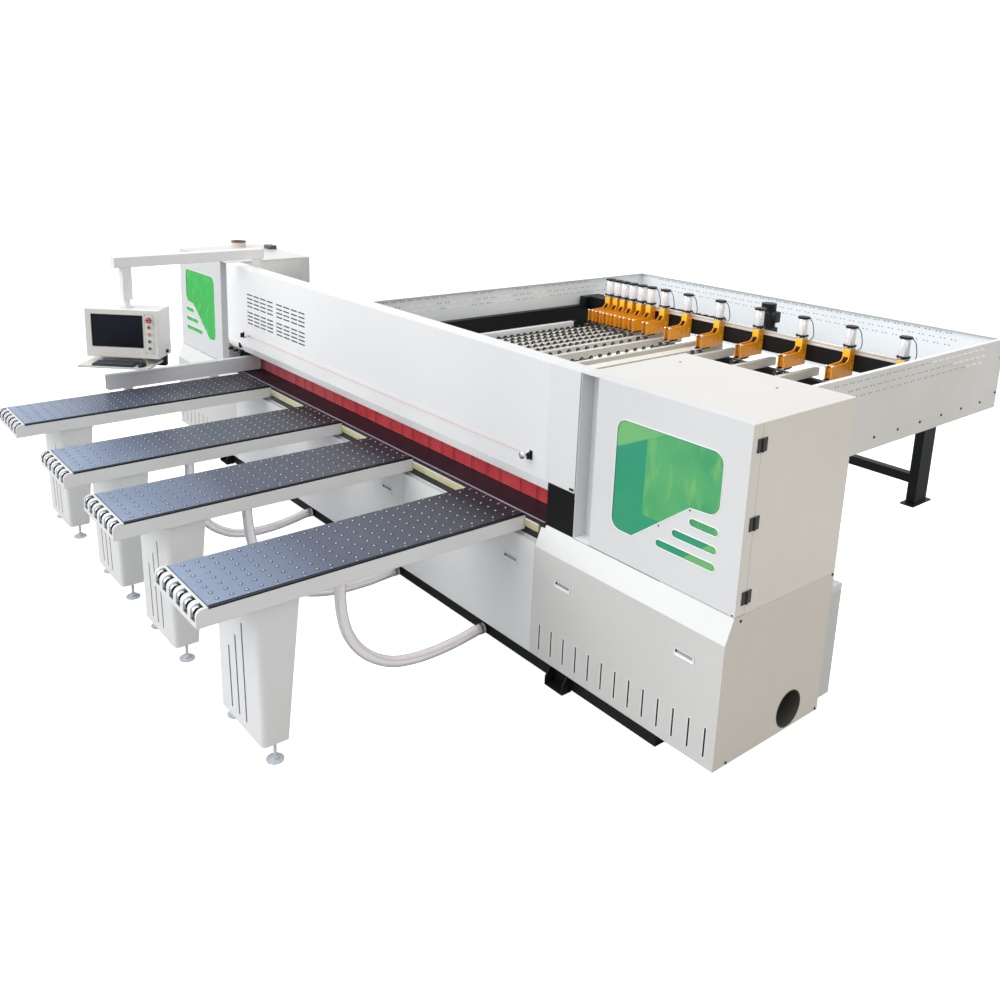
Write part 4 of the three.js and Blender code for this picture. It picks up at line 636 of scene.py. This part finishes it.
# Painted shade and painted reflection: in the right window, darker teal low down and towards the left, and
# lighter bands along two slants.
dress(zoned(right_sheet, (down, -1.255, "2b957a", "359c72", 0.004),
            ((1, 0, -1.18), 1.648, "74b76d", "68b070", 0.006), (left, -2.705, "27917b", "369b70", 0.004),
            ((-0.479, 0, 1), 0.354, "69b478", "78bb70", 0.008)), "right_window")
dress(reflection_streaked_sheet("left_green_sheet", "00b03a", "08bc46", "2fd257", (20, 20, 12), (0, 0.4, 0)),
      "left_window")


def round_corners(corners, steps=7):
    """An outline of (a, b, radius) corners with an arc at each. The arc touches both sides at
    r / tan(h) from the corner, h being half the corner's angle, and its points turn evenly about
    its centre."""
    corners = np.asarray(corners, float)
    tip, r = corners[:, :2], corners[:, 2:]
    u, v = np.roll(tip, 1, axis=0) - tip, np.roll(tip, -1, axis=0) - tip
    u, v = (w / np.linalg.norm(w, axis=1, keepdims=True) for w in (u, v))
    half = np.arccos((u * v).sum(axis=1, keepdims=True)) / 2
    centre = tip + (u + v) / np.linalg.norm(u + v, axis=1, keepdims=True) * r / np.sin(half)
    first, last = (tip + w * r / np.tan(half) - centre for w in (u, v))
    turn = (np.pi - 2 * half)[:, None]
    share = np.linspace(0, 1, steps)[None, :, None]
    blend = np.sin((1 - share) * turn) * first[:, None] + np.sin(share * turn) * last[:, None]
    return (centre[:, None] + blend / np.sin(turn)).reshape(-1, 2)


door_corner = np.array([2.355, 0.950])
pane = round_corners([(0.148, 0.764, 0.062), (0.813, 0.764, 0.062), (0.813, 0.452, 0.062),
                      (0.643, 0.440, 0.008), (0.292, 0.166, 0.008), (0.148, 0.166, 0.062)]) + door_corner
outlines = [pane] + [rounded_loop(0.817 - start, 0.042, 0.0209, 7)[::-1] + door_corner
                     + [(0.817 + start) / 2, z]
                     for start, z in ((0.644, 0.373), (0.546, 0.281), (0.451, 0.194))]
seal_green = finish("window_seal", "1f6f45", "2a7a4d", 0.4)
rivet = outside_in(turned([(0.0050, 0.0006), (0.0046, -0.0012), (0.0020, -0.0022)], axis="y", sides=10))
# Painted highlight: bright white beads round the window's outlines; the green beads behind them are the
# seals.
for side, name in ((1, "right"), (-1, "left")):
    for label, paint, depth, radius, slot in (("edges", highlight_and_mark_white, -0.0006, 0.0024, "white_paint"),
                                              ("seals", seal_green, 0.0028, 0.0022, "tinted_sheet")):
        rims = [upright_rim(outline * [side, 1], radius, beam_front + depth, -side) for outline in outlines]
        add_piece(f"{name}_window_{label}", together(*rims), paint, f"{name}_door")
    rivet_places = [(side * x, beam_front, z) for x, z in ((2.999, 1.379), (2.817, 1.234), (3.290, 0.957))]
    add_piece(f"{name}_door_rivets", repeated(rivet, rivet_places), screw_steel,
              f"{name}_door")
    near, far = sorted((side * 2.235, side * 2.85))
    # Painted shade: a dark strip in the gap under each cabinet.
    add_piece(f"{name}_cabinet_gap", soft_block((near, beam_front - 0.0012, 0.9465),
                                                (far, beam_front + 0.0004, 0.9492), 0.0008, 0.0004,
                                                axis="x"), painted_shade_dark)
# Painted shade: a grey strip in the gap beside the right door.
add_piece("right_door_gap", soft_block((side_face, -1.7572, 0.955), (hinge_face, -1.7554, 1.880), 0.0004,
                                       0.0003), pocket_shade_grey)
top_screw = turned([(0.0075, 0.0), (0.0072, 0.0018), (0.0040, 0.0034)], sides=10)
add_piece("cabinet_top_screws", repeated(top_screw, [(2.359, -1.195, 1.8872), (2.985, -1.197, 1.8872)]),
          screw_steel)
closing_sheet = soft_block((2.2285, -1.690, 1.6420), (2.2300, -1.085, 1.870), 0.004, 0.0006, axis="x")
recess_floor = soft_block((2.232, -1.8255, 0.9475), (2.353, -1.7395, 0.9500), 0.001, 0.0006)
# Painted highlight: the recess floors take the bright white.
for name, shape, paint in (("cabinet_closing_sheets", closing_sheet, cabinet_paint),
                           ("recess_floors", recess_floor, highlight_and_mark_white)):
    add_piece(name, together(shape, mirrored(shape)), paint)
points, faces = turned([(0.0670, -0.030), (0.0670, -0.004), (0.0700, 0.001), (0.0745, 0.001),
                        (0.0745, -0.012)], sides=28, centre=(-3.185, -1.2665, 1.945))
add_piece("collar_lining", (points, faces[:2]), finish("collar_lining", "8a6a5a", "6f5548", 0.6))
add_piece("left_cabinet_fitting", soft_block((-2.985, -1.095, 1.8875), (-2.850, -1.015, 1.925), 0.008,
                                             0.006),
          finish("fitting_blue", "4a5260", "3a414d", 0.35, coat=0.2))

# Air tables: a cream sheet frame on a box leg, and a drilled plate with a ball in each hole. The
# plate lifts boards on air. Its face is dark blue and shines; the paler blue towards the operator
# is a painted reflection.
frame_paint = zoned(finish("table_frame_paint", "e5e7e9", "dedfe0", 0.4, coat=0.1, edge=0.004),
                    (down, -0.0945, "cfd5db", "bcc3ca"))
# Painted reflection: the face is pale blue at the operator's end and turns dark towards the rear; its sides
# below the face are near black.
top_paint = zoned(
    finish("air_table_top", "90a3c0", "8295b4", 0.34, smear=0.1, patch=1.6, grain=90.0, shine=0.35),
    (back, -3.80, "4c5870", "434e66", 0.75), (back, -3.25, "26272f", "2d2f3a", 1.25),
    (down, -0.9588, "08090b", "0c0d10"))
ball_shadow_black = finish("ball_seat_painted_shadow", "15171c", "1f2229", 0.45, shine=0.25)
ball_steel = finish("ball_steel", "d6cbc1", "c4b8ad", 0.3, metallic=0.2)
roller_steel = finish("end_roller_steel", "d3d8e0", "aab0ba", 0.22, metallic=0.9)
notch_shade_grey = finish("roller_notch_painted_shade", "55585e", "44474d", 0.5)
side_black = finish("roller_side", "101114", "17191d", 0.5, shine=0.2)
table_x, table_z = (-1.637958, -0.4769115, 0.4501410, 1.5900355), 0.96
ball_spots = grid(-0.212 + 0.0683 * np.arange(7), -3.697 + 0.0757 * np.arange(25), table_z)
small_spots = np.concatenate([grid((-0.241, 0.230), -3.702 + 0.1495 * np.arange(13), table_z),
                              grid(-0.222 + 0.139 * np.arange(4), (-3.740, -1.858), table_z)])
# Painted shadow: a dark ring round each ball, set off to the right, stands for its seat and the ball's
# shadow.
rim = turned([(0.0120, -0.0002), (0.0116, 0.0006), (0.0086, 0.0006), (0.0080, -0.0002)], sides=10,
             wrap=True, centre=(0.0015, 0.001, 0))
ball = turned([(0.0058, -0.0004), (0.0054, 0.0014), (0.0040, 0.0026), (0.0016, 0.0032)], sides=10)
stud = turned([(0.0042, -0.0004), (0.0040, 0.0008), (0.0022, 0.0012)], sides=8)
notch_x, roller_y, roller_z = (np.arange(6) - 2.5) * 0.087, -3.8015, 0.9375
wheel = turned([(0.004, -0.0220), (0.0205, -0.0215), (0.0225, -0.0190), (0.0225, 0.0080),
                (0.0205, 0.0105), (0.004, 0.0110)], axis="x", sides=22)
washer = turned([(0.004, 0.0140), (0.0236, 0.0140), (0.0242, 0.0150), (0.0242, 0.0185),
                 (0.0236, 0.0195), (0.004, 0.0195)], axis="x", sides=22)
hanger = soft_block((-0.006, 0.012, 0.0160), (0.010, 0.0245, 0.0215), axis="y")
# Painted shade: a grey floor and back wall in each roller notch.
well = blocks(((-0.0248, -3.8222, 0.8950), (0.0248, -3.7768, 0.8970), 0.0008, 0.0006),
              ((-0.0248, -3.7790, 0.8950), (0.0248, -3.7768, 0.9594), 0.0008, 0.0006), axis="x")
dress(frame_paint, *(f"table_frame_{number}" for number in range(1, 5)))
dress(top_paint, *(f"table_top_{number}" for number in range(1, 5)))
for number, x in enumerate(table_x, 1):
    roller_spots = grid(x + notch_x, roller_y, roller_z)
    low, high = (np.array(corner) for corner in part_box(f"table_top_{number}"))
    border = blocks(((high[0] - 0.0150, low[1] + 0.0004, high[2] - 0.0004),
                     (high[0] - 0.0004, high[1] - 0.0004, high[2] + 0.0008), 0.001, 0.0004),
                    ((low[0] + 0.0004, low[1] + 0.0004, high[2] - 0.0004),
                     (high[0] - 0.0140, low[1] + 0.0040, high[2] + 0.0006), 0.001, 0.0003))
    balls = together(repeated(ball, ball_spots + [x, 0, 0]), repeated(stud, small_spots + [x, 0, 0]))
    for label, shape, paint, slot in (
            ("ball_shadows", repeated(rim, ball_spots + [x, 0, 0]), ball_shadow_black, "black_paint"),
            ("table_balls", balls, ball_steel, "bare_steel"),
            ("end_rollers", repeated(wheel, roller_spots), roller_steel, "bare_steel"),
            ("roller_washers", repeated(together(washer, hanger), roller_spots), side_black, "black_paint"),
            ("roller_wells", repeated(well, grid(x + notch_x, 0, 0)), notch_shade_grey, "grey_paint"),
            ("table_top_border", border, side_black, "black_paint")):
        add_piece(f"{label}_{number}", shape, paint)
# Painted reflection: the fence turns a darker blue-grey towards its foot.
dress(zoned(finish("fence_paint", "eceff3", "dde2e8", 0.25, coat=0.3, edge=0.003),
            (down, -0.98, "d0dae6", "c4cfdc", 0.1)), "side_fence")

# The rear table is a black frame with sheet panels round it. Rows of slots are punched along the
# panels' upper part, and the heads of the black bolts show on the right panel.
dress(finish("rear_panel_paint", "e3e3e0", "dbdad5", 0.35, coat=0.15, edge=0.003), "rear_panel_right")
# Painted light: the inner faces of the left and back panels take a whiter, bluer copy of the panel paint.
dress(finish("rear_inner_painted_light", "f0f5f9", "ebf1f5", 0.4, edge=0.003), "rear_panel_left",
      "rear_panel_back")
dress(finish("rail_paint", "d9d7ce", "cfcdc3", 0.4, coat=0.1, edge=0.003), "roller_rails")
dress(black_paint, "rear_frame")


def dash(length, height, axis):
    """A punched slot's bright or dark inside, as a thin plate with round ends that lies on the
    sheet."""
    half = {"x": (0.0006, length / 2, height / 2), "y": (length / 2, 0.0006, height / 2)}[axis]
    return soft_block(-np.array(half), half, height * 0.49, 0.0003, axis=axis, steps=4)


def slot_rows(axis, plane, rows):
    """White slots where the sheet is seen against the light, and pairs of dark dashes at the ends of
    the others. A row is (height, first, last, pitch, places of its white slots)."""
    white, dark = [], []
    for z, first, last, pitch, bright in rows:
        places = np.arange(first, last, pitch)
        if len(bright):
            gaps = np.abs(places[:, None] - np.asarray(bright)[None]).min(axis=1)
            places = places[gaps > 0.6 * pitch]
        white += [(y, z) for y in bright]
        dark += [(y + d, z) for y in places for d in (-0.019, 0.019)]
    spots = ([(plane, y, z) if axis == "x" else (y, plane, z) for y, z in row] for row in (white, dark))
    return [repeated(dash(length, height, axis), row) if row else None
            for row, length, height in zip(spots, (0.074, 0.017), (0.017, 0.010))]


slot_white = finish("slot_against_light", "ffffff", "fbfbfb", 0.6)
slot_grey = finish("slot_in_shade", "7b7f82", "909496", 0.6)
left_box, right_box, back_box = (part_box(f"rear_panel_{side}") for side in ("left", "right", "back"))
outer_rows = [(1.325, 1.06, 2.48, 0.1055, 3.378 - 0.1055 * np.arange(9)),
              (1.262, 1.26, 2.85, 0.104, 3.424 - 0.104 * np.arange(6)),
              (1.205, 1.34, 3.10, 0.107, 3.370 - 0.107 * np.arange(3))]
inner_rows = [(1.332, -0.90, 3.40, 0.1065, [0.769, 0.876, 0.982, 1.428, 1.538, 1.648, 1.963, 2.065,
                                            2.961, 3.091]),
              (1.268, -0.85, 3.40, 0.1065, [0.278, 0.375, 0.489, 0.822, 0.930, 1.042, 1.485, 1.596,
                                            2.025, 2.143, 3.102]),
              (1.210, -0.80, 3.40, 0.1065, [0.328, 0.437, 0.553, 0.773, 0.881, 0.987, 1.433, 1.543,
                                            1.655, 2.087, 2.200])]
back_pitch = 0.1053
back_rows = [(z, first - back_pitch * 34, last, back_pitch, [])
             for z, first, last in ((1.331, 1.509, 1.53), (1.271, 1.5575, 1.58), (1.214, 1.502, 1.52))]
for name, shapes in (("right", slot_rows("x", right_box[1][0] + 0.0004, outer_rows)),
                     ("left", slot_rows("x", left_box[0][0] + 0.0034, inner_rows)),
                     ("back", slot_rows("y", back_box[1][1] - 0.0034, back_rows))):
    for label, shape, paint in zip(("bright", "dark"), shapes, (slot_white, slot_grey)):
        if shape:
            add_piece(f"{name}_panel_{label}_slots", shape, paint)
bolt = turned([(0.0130, 0.0), (0.0126, 0.0016), (0.0085, 0.0016), (0.0084, 0.0060), (0.0060, 0.0078)],
              axis="x", sides=10)
bolt_places = [(right_box[1][0], y, 0.818) for y in (1.700, 2.062, 2.422, 2.786, 3.144, 3.502)]
bolt_places += [(right_box[1][0], right_box[1][1] - 0.035, z) for z in (1.20, 0.87)]
add_piece("right_panel_bolts", repeated(bolt, bolt_places), screw_steel)

# Each feed line has a rail with black plastic wheels on its left side, and every wheel turns on a
# small steel axle. The six rails on the left have their wheels closer together.
wheel_black = finish("wheel_plastic", "111214", "191a1d", 0.3, coat=0.1, shine=0.3)
feed_wheel = turned([(0.006, -0.010), (0.0215, -0.0095), (0.0240, -0.006), (0.0240, 0.006),
                     (0.0215, 0.0095), (0.006, 0.010)], axis="x", sides=14)
axle = turned([(0.003, 0.0098), (0.0085, 0.0098), (0.0085, 0.0120), (0.003, 0.0130)], axis="x", sides=8)
wheel_counts, wheel_pitches = [37] * 6 + [27] * 7, [0.092] * 6 + [0.128] * 7
wheel_shift, rail_start, wheel_z = 0.057 - 0.0362, -0.885, 0.936
wheel_spots = np.concatenate([
    grid(x + wheel_shift, rail_start + pitch * np.arange(count), wheel_z)
    for x, count, pitch in zip(gripper_x, wheel_counts, wheel_pitches)])
add_piece("feed_wheels", repeated(feed_wheel, wheel_spots), wheel_black)
add_piece("wheel_axles", repeated(axle, wheel_spots), roller_steel)
add_piece("left_side_guide", soft_block((-1.992, rail_start, 0.915), (-1.942, 2.215, 0.990), 0.003, 0.002,
                                        axis="y"), frame_paint)
add_piece("left_guide_stop", soft_block((-1.996, 2.215, 0.915), (-1.938, 2.262, 0.994), 0.003, 0.002,
                                        axis="y"), black_paint)

# The pusher is a black box beam with end carriages and a drive motor. Thirteen amber grippers are
# bolted to its aluminium rail, each worked by a white air cylinder.
dress(black_paint, "pusher_beam")
amber_paint = finish("amber_paint", "f2a41f", "ea9a18", 0.32, coat=0.3, edge=0.002)
# Painted light and shade: a brighter copy of the amber paint on the grippers' lit fronts and top plates,
# and a darker copy inside, between the cheeks.
lit_amber = finish("amber_painted_light", "ffc226", "fdb91e", 0.3, coat=0.3, edge=0.002)
shaded_amber = finish("amber_painted_shade", "b87018", "a56210", 0.4)
fillet = np.linspace(0, -np.pi / 2, 7)
cheek = [(0, 0.980), (0, 1.234), (-0.086, 1.234)]
cheek += list(zip(-0.150 + 0.064 * np.cos(fillet), 1.178 + 0.064 * np.sin(fillet)))
cheek += [(-0.345, 1.105), (-0.355, 1.096), (-0.355, 0.990), (-0.347, 0.980)]
cheek = cheek[::-1]
bead = turned([(0.0002, -0.0130), (0.0075, -0.0106), (0.0118, -0.0055), (0.0130, 0.0), (0.0118, 0.0055),
               (0.0075, 0.0106), (0.0002, 0.0130)], axis="x", sides=14)
boss = turned([(0.0085, 0.0), (0.0085, 0.003), (0.0050, 0.0055), (0.0002, 0.0060)], axis="x", sides=12)
# Painted shade: each hole in a cheek is a dark disc on the solid plate.
hole = turned([(0.0062, 0.0), (0.0060, 0.0008), (0.0002, 0.0008)], axis="x", sides=10)
hole_places = [(0.0340, y, z) for y, z in ((-0.043, 1.205), (-0.043, 1.165), (-0.043, 1.125),
                                           (-0.150, 1.046), (-0.300, 1.000))]


def gripper_piece(name, shapes, material, smooth=True):
    """Shapes drawn about one gripper, their depth counted from its back plane, stand at all
    thirteen."""
    return add_piece(name, repeated(together(*shapes), grid(gripper_x, grip_back, 0)), material,
                     "pusher", smooth)


bodies = gripper_piece("gripper_bodies", (
    plate(cheek, -0.034, -0.026, "x"), plate(cheek, 0.026, 0.034, "x"),
    blocks(((-0.030, -0.008, 0.981), (0.030, -0.0005, 1.233)),
           ((-0.028, -0.330, 1.100), (0.028, -0.292, 1.106)), axis="y")),
    amber_paint, smooth=False)
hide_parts("gripper_brackets")
# Painted light: the fronts and top plates take the brighter amber.
gripper_piece("gripper_fronts", (
    soft_block((-0.035, -0.0885, 1.158), (0.035, -0.080, 1.2335), axis="y"),
    soft_block((-0.035, -0.0865, 1.2300), (0.035, 0.0, 1.2355)),
    soft_block((0.0338, -0.052, 1.030), (0.0352, -0.016, 1.088), 0.014, 0.0005, axis="x")),
    lit_amber)
# Painted shade: the insides between the cheeks take the darker amber.
gripper_piece("gripper_insides", (blocks(
    ((-0.022, -0.338, 0.990), (0.022, -0.300, 1.088)),
    ((-0.0255, -0.300, 0.990), (0.0255, -0.10, 1.060)), axis="y"),),
    shaded_amber)
gripper_piece("gripper_chrome", (
    repeated(bead, grid((0.029, -0.029), -0.350, 1.103)),
    repeated(boss, [(0.0345, -0.034, 1.030), (0.0340, -0.086, 1.040)]),
    blocks(((-0.034, -0.372, 0.966), (-0.020, -0.340, 0.986)),
           ((0.020, -0.372, 0.966), (0.034, -0.340, 0.986)),
           ((-0.015, -0.420, 0.948), (0.008, -0.205, 0.956)), axis="y")),
    chrome)
# The dark discs on the cheeks are painted shade for their holes.
gripper_piece("gripper_dark_parts", (
    repeated(hole, hole_places),
    blocks(((-0.017, -0.452, 0.944), (0.009, -0.418, 0.962)),
           ((-0.030, -0.330, 0.962), (0.030, -0.200, 0.981)),
           ((-0.010, -0.116, 1.108), (0.010, -0.104, 1.150), 0.006, 0.003), axis="y")),
    tube_black)


def grooved_barrel(radius, low, high, grooves, depth, sides=48):
    """A drawn tube whose wall falls in by depth * cos(grooves * a / 2)^24 at each groove."""
    a = np.linspace(0, 2 * np.pi, sides, endpoint=False)
    r = radius - depth * np.cos(grooves * a / 2) ** 24
    rings = [np.stack([k * r * np.cos(a), k * r * np.sin(a), np.full(sides, z)], axis=1)
             for k, z in ((0.96, low), (1.0, low + 0.002), (1.0, high - 0.002), (0.96, high))]
    return skin(np.stack(rings))


cylinder_y = -0.045
barrel = moved(grooved_barrel(0.0435, 1.270, 1.427, 8, 0.0022), [0, cylinder_y, 0])
post = turned([(0.0055, 1.234), (0.0055, 1.262), (0.0070, 1.263), (0.0070, 1.270)], sides=8)
gripper_piece("gripper_cylinders", (barrel,),
              finish("cylinder_barrel", "fafafc", "f0f1f5", 0.28, metallic=0.2))
gripper_piece("gripper_feet", (
    soft_block((-0.040, -0.085, 1.2345), (0.040, -0.005, 1.243), 0.004, 0.001),
    repeated(post, grid((-0.034, 0.034), (cylinder_y - 0.034, cylinder_y + 0.034), 0))),
    roller_steel)
gripper_piece("cylinder_caps", (
    soft_block((-0.050, -0.093, 1.426), (0.050, 0.003, 1.448), 0.030, 0.004),
    soft_block((-0.052, -0.094, 1.256), (0.052, 0.004, 1.272), 0.026, 0.003),
    soft_block((0.038, -0.052, 1.430), (0.058, -0.022, 1.444), 0.004, 0.002, axis="x"),
    soft_block((-0.020, -0.040, 1.240), (0.020, -0.010, 1.257), 0.004, 0.002)), tube_black)
rail_profile = np.array([(0, 0), (0.040, 0), (0.040, 0.044), (0, 0.044), (0, 0.030), (0.005, 0.030),
                         (0.005, 0.016), (0, 0.016)]) + [grip_back - 0.0005, 1.1790]
rail_silver = finish("drawn_aluminium", "e4e0d8", "d3cfc8", 0.3, metallic=0.35, grain=160.0)
add_piece("gripper_rail", plate(rail_profile, gripper_x[0] - 0.05, gripper_x[-1] + 0.05, "x"),
          rail_silver, "pusher", smooth=False, bevel=0.001)
link = blocks(((-0.012, -0.030, 0.0), (0.012, 0.030, 0.036), 0.003, 0.002),
              ((-0.015, -0.033, 0.008), (0.004, 0.033, 0.028), 0.003, 0.002), axis="x")
link_places = [(x, 2.900 + 0.010 * np.sin(9 * x), 1.179 + 0.004 * (k % 3))
               for k, x in enumerate(np.arange(-1.16, -0.40, 0.030))]
add_piece("cable_chain", repeated(link, link_places), tube_black, "pusher")
ribs = [(0.0755, 1.190)] + [(0.0755 + 0.006 * (k % 2), 1.200 + 0.011 * k + 0.004 * (j % 2))
                            for k in range(15) for j in range(2)] + [(0.070, 1.372)]
motor = together(turned(ribs, sides=24, centre=(0.030, 3.0395, 0)),
                 soft_block((0.095, 2.990, 1.265), (0.150, 3.080, 1.375), 0.010, 0.004, axis="x"),
                 soft_block((-0.060, 2.955, 1.179), (0.120, 3.098, 1.206), 0.006, 0.003))
add_piece("drive_motor_ribs", motor, tube_black, "pusher")
dress(finish("finger_paint", "a9680f", "93590d", 0.4, coat=0.1),
      *(f"gripper_finger_{number:02d}" for number in range(1, 14)))

# The saw unit runs under the table: a carriage on the bed's rails, a lifting head with motors and
# spindles, and two steel blades.
dress(press_grey, "saw_carriage")
dress(black_paint, "saw_head")
dress(finish("blade_steel", "c9cbcd", "a9acaf", 0.25, metallic=1.0), "saw_blade", "scoring_blade")

# The console hangs from a swinging arm of white tube: a sheet box with a screen, buttons beside it
# and a keyboard tray below.
console_paint = finish("console_paint", "f2f4f4", "eceeee", 0.35, smear=0.04, coat=0.1, edge=0.008)
# Painted light: from the box's front face on, the paint turns a warmer, darker grey as painted side light.
dress(zoned(console_paint, ((0.737, -0.676, 0), 0.5594, "e2e0da", "dddbd5")),
      "console_arm", "console_box", "keyboard_tray")
for colour, light, shade, buttons in (
        ("red", "c81f28", "b81a22", ("emergency_button", "push_button_1")),
        ("amber", "ef9a14", "e28a0c", ("push_button_2",)),
        ("green", "1c7d55", "14704b", ("push_button_3", "push_button_4"))):
    dress(finish(f"{colour}_button_plastic", light, shade, 0.25, coat=0.4), *buttons)
screen_glass = finish("screen_glass", "10141c", "141821", 0.42, shine=0.1)
bezel_grey = finish("screen_bezel", "9b9c99", "8c8d8a", 0.45)
key_dark = finish("key_plastic", "36424f", "2b3541", 0.4)
key_base = finish("keyboard_base", "222a34", "1c232c", 0.45)


def console_piece(name, shape, material, body="console_box"):
    """A shape drawn about the screen box's axis goes onto the box."""
    return add_piece(name, (on_console(shape[0]), shape[1]), material, body)


box_front, tray_top, button_x = -0.1215, -0.046, 0.226
button_z = 0.316 - 0.0575 * np.arange(5)
console_piece("screen", soft_block((-0.2495, box_front + 0.0015, 0.0865),
                                   (0.1735, box_front + 0.0035, 0.3505), 0.002, 0.0005, axis="y"),
              screen_glass)
bezel = rounded_loop(0.425, 0.266, 0.003) + [-0.038, 0.2185]
plate_edge = rounded_loop(0.074, 0.318, 0.010) + [button_x, 0.202]
console_piece("screen_bezel", upright_rim(bezel, 0.0016, box_front), bezel_grey)
console_piece("button_plate_edge", upright_rim(plate_edge, 0.0011, box_front), bezel_grey)
ring = turned([(0.0150, 0.0006), (0.0172, -0.0020), (0.0150, -0.0052), (0.0128, -0.0052),
               (0.0126, 0.0006)], axis="y", sides=20, wrap=True)
console_piece("button_rings", repeated(ring, grid(button_x, box_front, button_z[1:])), chrome)
console_piece("stop_ring", moved(ring, [button_x, box_front, button_z[0]], [1.45, 1, 1.45]), bezel_grey)
mark = soft_block((-0.0028, box_front - 0.0252, -0.0028), (0.0028, box_front - 0.0238, 0.0028), 0.002,
                  0.0004, axis="y")
mark_places = [(button_x + 0.012 * np.cos(a), 0, button_z[0] + 0.012 * np.sin(a))
               for a in np.radians([90, 210, 330])]
console_piece("stop_marks", repeated(mark, mark_places), highlight_and_mark_white, "emergency_button")
screw_dot = turned([(0.0030, 0.0004), (0.0028, -0.0012), (0.0010, -0.0016)], axis="y", sides=8)
screw_places = grid((button_x - 0.030, button_x + 0.030), box_front, (0.050, 0.354, 0.2010))
console_piece("button_plate_screws", repeated(screw_dot, screw_places), screw_steel)
side_knob = turned([(0.017, 0.0), (0.017, 0.004), (0.011, 0.006), (0.011, 0.016), (0.008, 0.018)],
                   axis="x", centre=(0.300, 0.028, 0.036))
console_piece("side_knob", side_knob, tube_black)
console_piece("box_brackets", blocks(
    ((0.205, 0.060, -0.100), (0.275, 0.112, -0.001), 0.004, 0.002),
    ((-0.262, 0.060, -0.040), (-0.205, 0.112, -0.001), 0.004, 0.002), axis="y"), tube_black)
console_piece("keyboard_base", soft_block((-0.212, -0.240, tray_top), (0.130, -0.106, tray_top + 0.014),
                                          0.008, 0.003), key_base)
key = soft_block((-0.0092, -0.0090, 0), (0.0092, 0.0090, 0.007), 0.002, 0.0018)
key_places = grid(-0.195 + 0.0215 * np.arange(15), -0.223 + 0.0215 * np.arange(5), tray_top + 0.0135)
console_piece("keyboard_keys", repeated(key, key_places), key_dark)
climb = np.linspace(0, 1, 6)[:-1, None] * np.pi / 2
around = np.linspace(0, 2 * np.pi, 20, endpoint=False)[None]
swell = np.cos(climb) ** 0.6
mouse = np.stack([0.182 + 0.029 * swell * np.cos(around), -0.188 + 0.050 * swell * np.sin(around),
                  tray_top + 0.032 * np.sin(climb) + 0 * around], axis=-1)
console_piece("mouse", skin(mouse), tube_black)

# The machine stands on a plain pale floor under soft studio light, and the surroundings are white
# where the camera, metal and glass see them.


def glow_for(tree, kinds, gain, base):
    """A node whose value is base + gain for rays of the given kinds and base for all others."""
    rays, glow = new_nodes(tree, "LightPath", "Math")
    glow.operation = "MULTIPLY_ADD"
    preset(glow, {1: gain, 2: base})
    mask, output = rays, f"Is {kinds[0]} Ray"
    for kind in kinds[1:]:
        either, = new_nodes(tree, "Math")
        either.operation = "MAXIMUM"
        wire(tree, (mask, output, either, 0), (rays, f"Is {kind} Ray", either, 1))
        mask, output = either, 0
    wire(tree, (mask, output, glow, 0))
    return glow


floor_paint = bpy.data.materials.new("studio_floor")
floor_paint.use_nodes = True
tree = floor_paint.node_tree
shader = tree.nodes["Principled BSDF"]
preset(shader, {"Base Color": (0.50, 0.50, 0.50, 1), "Roughness": 0.6})
shine, total = new_nodes(tree, "Emission", "AddShader")
wire(tree, (glow_for(tree, ("Camera", "Transmission"), 0.95, 0.0), 0, shine, "Strength"),
     (shader, "BSDF", total, 0), (shine, "Emission", total, 1),
     (total, "Shader", tree.nodes["Material Output"], "Surface"))
floor_reach = 60
floor_corners = [(x * floor_reach, y * floor_reach, 0) for x, y in ((-1, -1), (1, -1), (1, 1), (-1, 1))]
floor_mesh = bpy.data.meshes.new("floor")
floor_mesh.from_pydata(floor_corners, [], [(0, 1, 2, 3)])
floor_mesh.materials.append(floor_paint)
floor = bpy.data.objects.new("floor", floor_mesh)
bpy.context.scene.collection.objects.link(floor)

world = bpy.data.worlds.new("studio")
bpy.context.scene.world = world
world.use_nodes = True
tree = world.node_tree
backdrop = tree.nodes["Background"]
preset(backdrop, {"Color": (1, 1, 1, 1)})
wire(tree, (glow_for(tree, ("Camera", "Glossy", "Transmission"), 0.6, 0.5), 0, backdrop, "Strength"))


def add_lamp(name, toward, strength, spread, colour=(1, 1, 1)):
    """A far lamp whose light comes from the given direction, softened by its spread in degrees."""
    lamp = bpy.data.lights.new(name, "SUN")
    lamp.energy, lamp.angle, lamp.color = strength, np.radians(spread), colour
    holder = bpy.data.objects.new(name, lamp)
    z = np.asarray(toward, float) / np.linalg.norm(toward)
    x = np.cross([0, 0, 1], z)
    x /= np.linalg.norm(x)
    axes = np.eye(4)
    axes[:3, 0], axes[:3, 1], axes[:3, 2], axes[:3, 3] = x, np.cross(z, x), z, z * 12
    holder.matrix_world = Matrix(axes.tolist())
    bpy.context.scene.collection.objects.link(holder)


add_lamp("front_lamp", (-0.35, -0.85, 0.55), 1.92, 60)
add_lamp("top_lamp", (0.1, 0.15, 1.0), 1.0, 80)
add_lamp("side_lamp", (1.0, -0.1, 0.25), 0.35, 70, (1.0, 0.88, 0.70))
panel_lamp = bpy.data.lights.new("rear_lamp", "AREA")
panel_lamp.energy, panel_lamp.shape, panel_lamp.size = 44, "SQUARE", 2.6
panel_holder = bpy.data.objects.new("rear_lamp", panel_lamp)
panel_holder.location, panel_holder.rotation_euler = (0.3, 1.0, 3.7), np.radians([47, 0, 0]).tolist()
panel_holder.visible_camera = panel_holder.visible_glossy = False
bpy.context.scene.collection.objects.link(panel_holder)
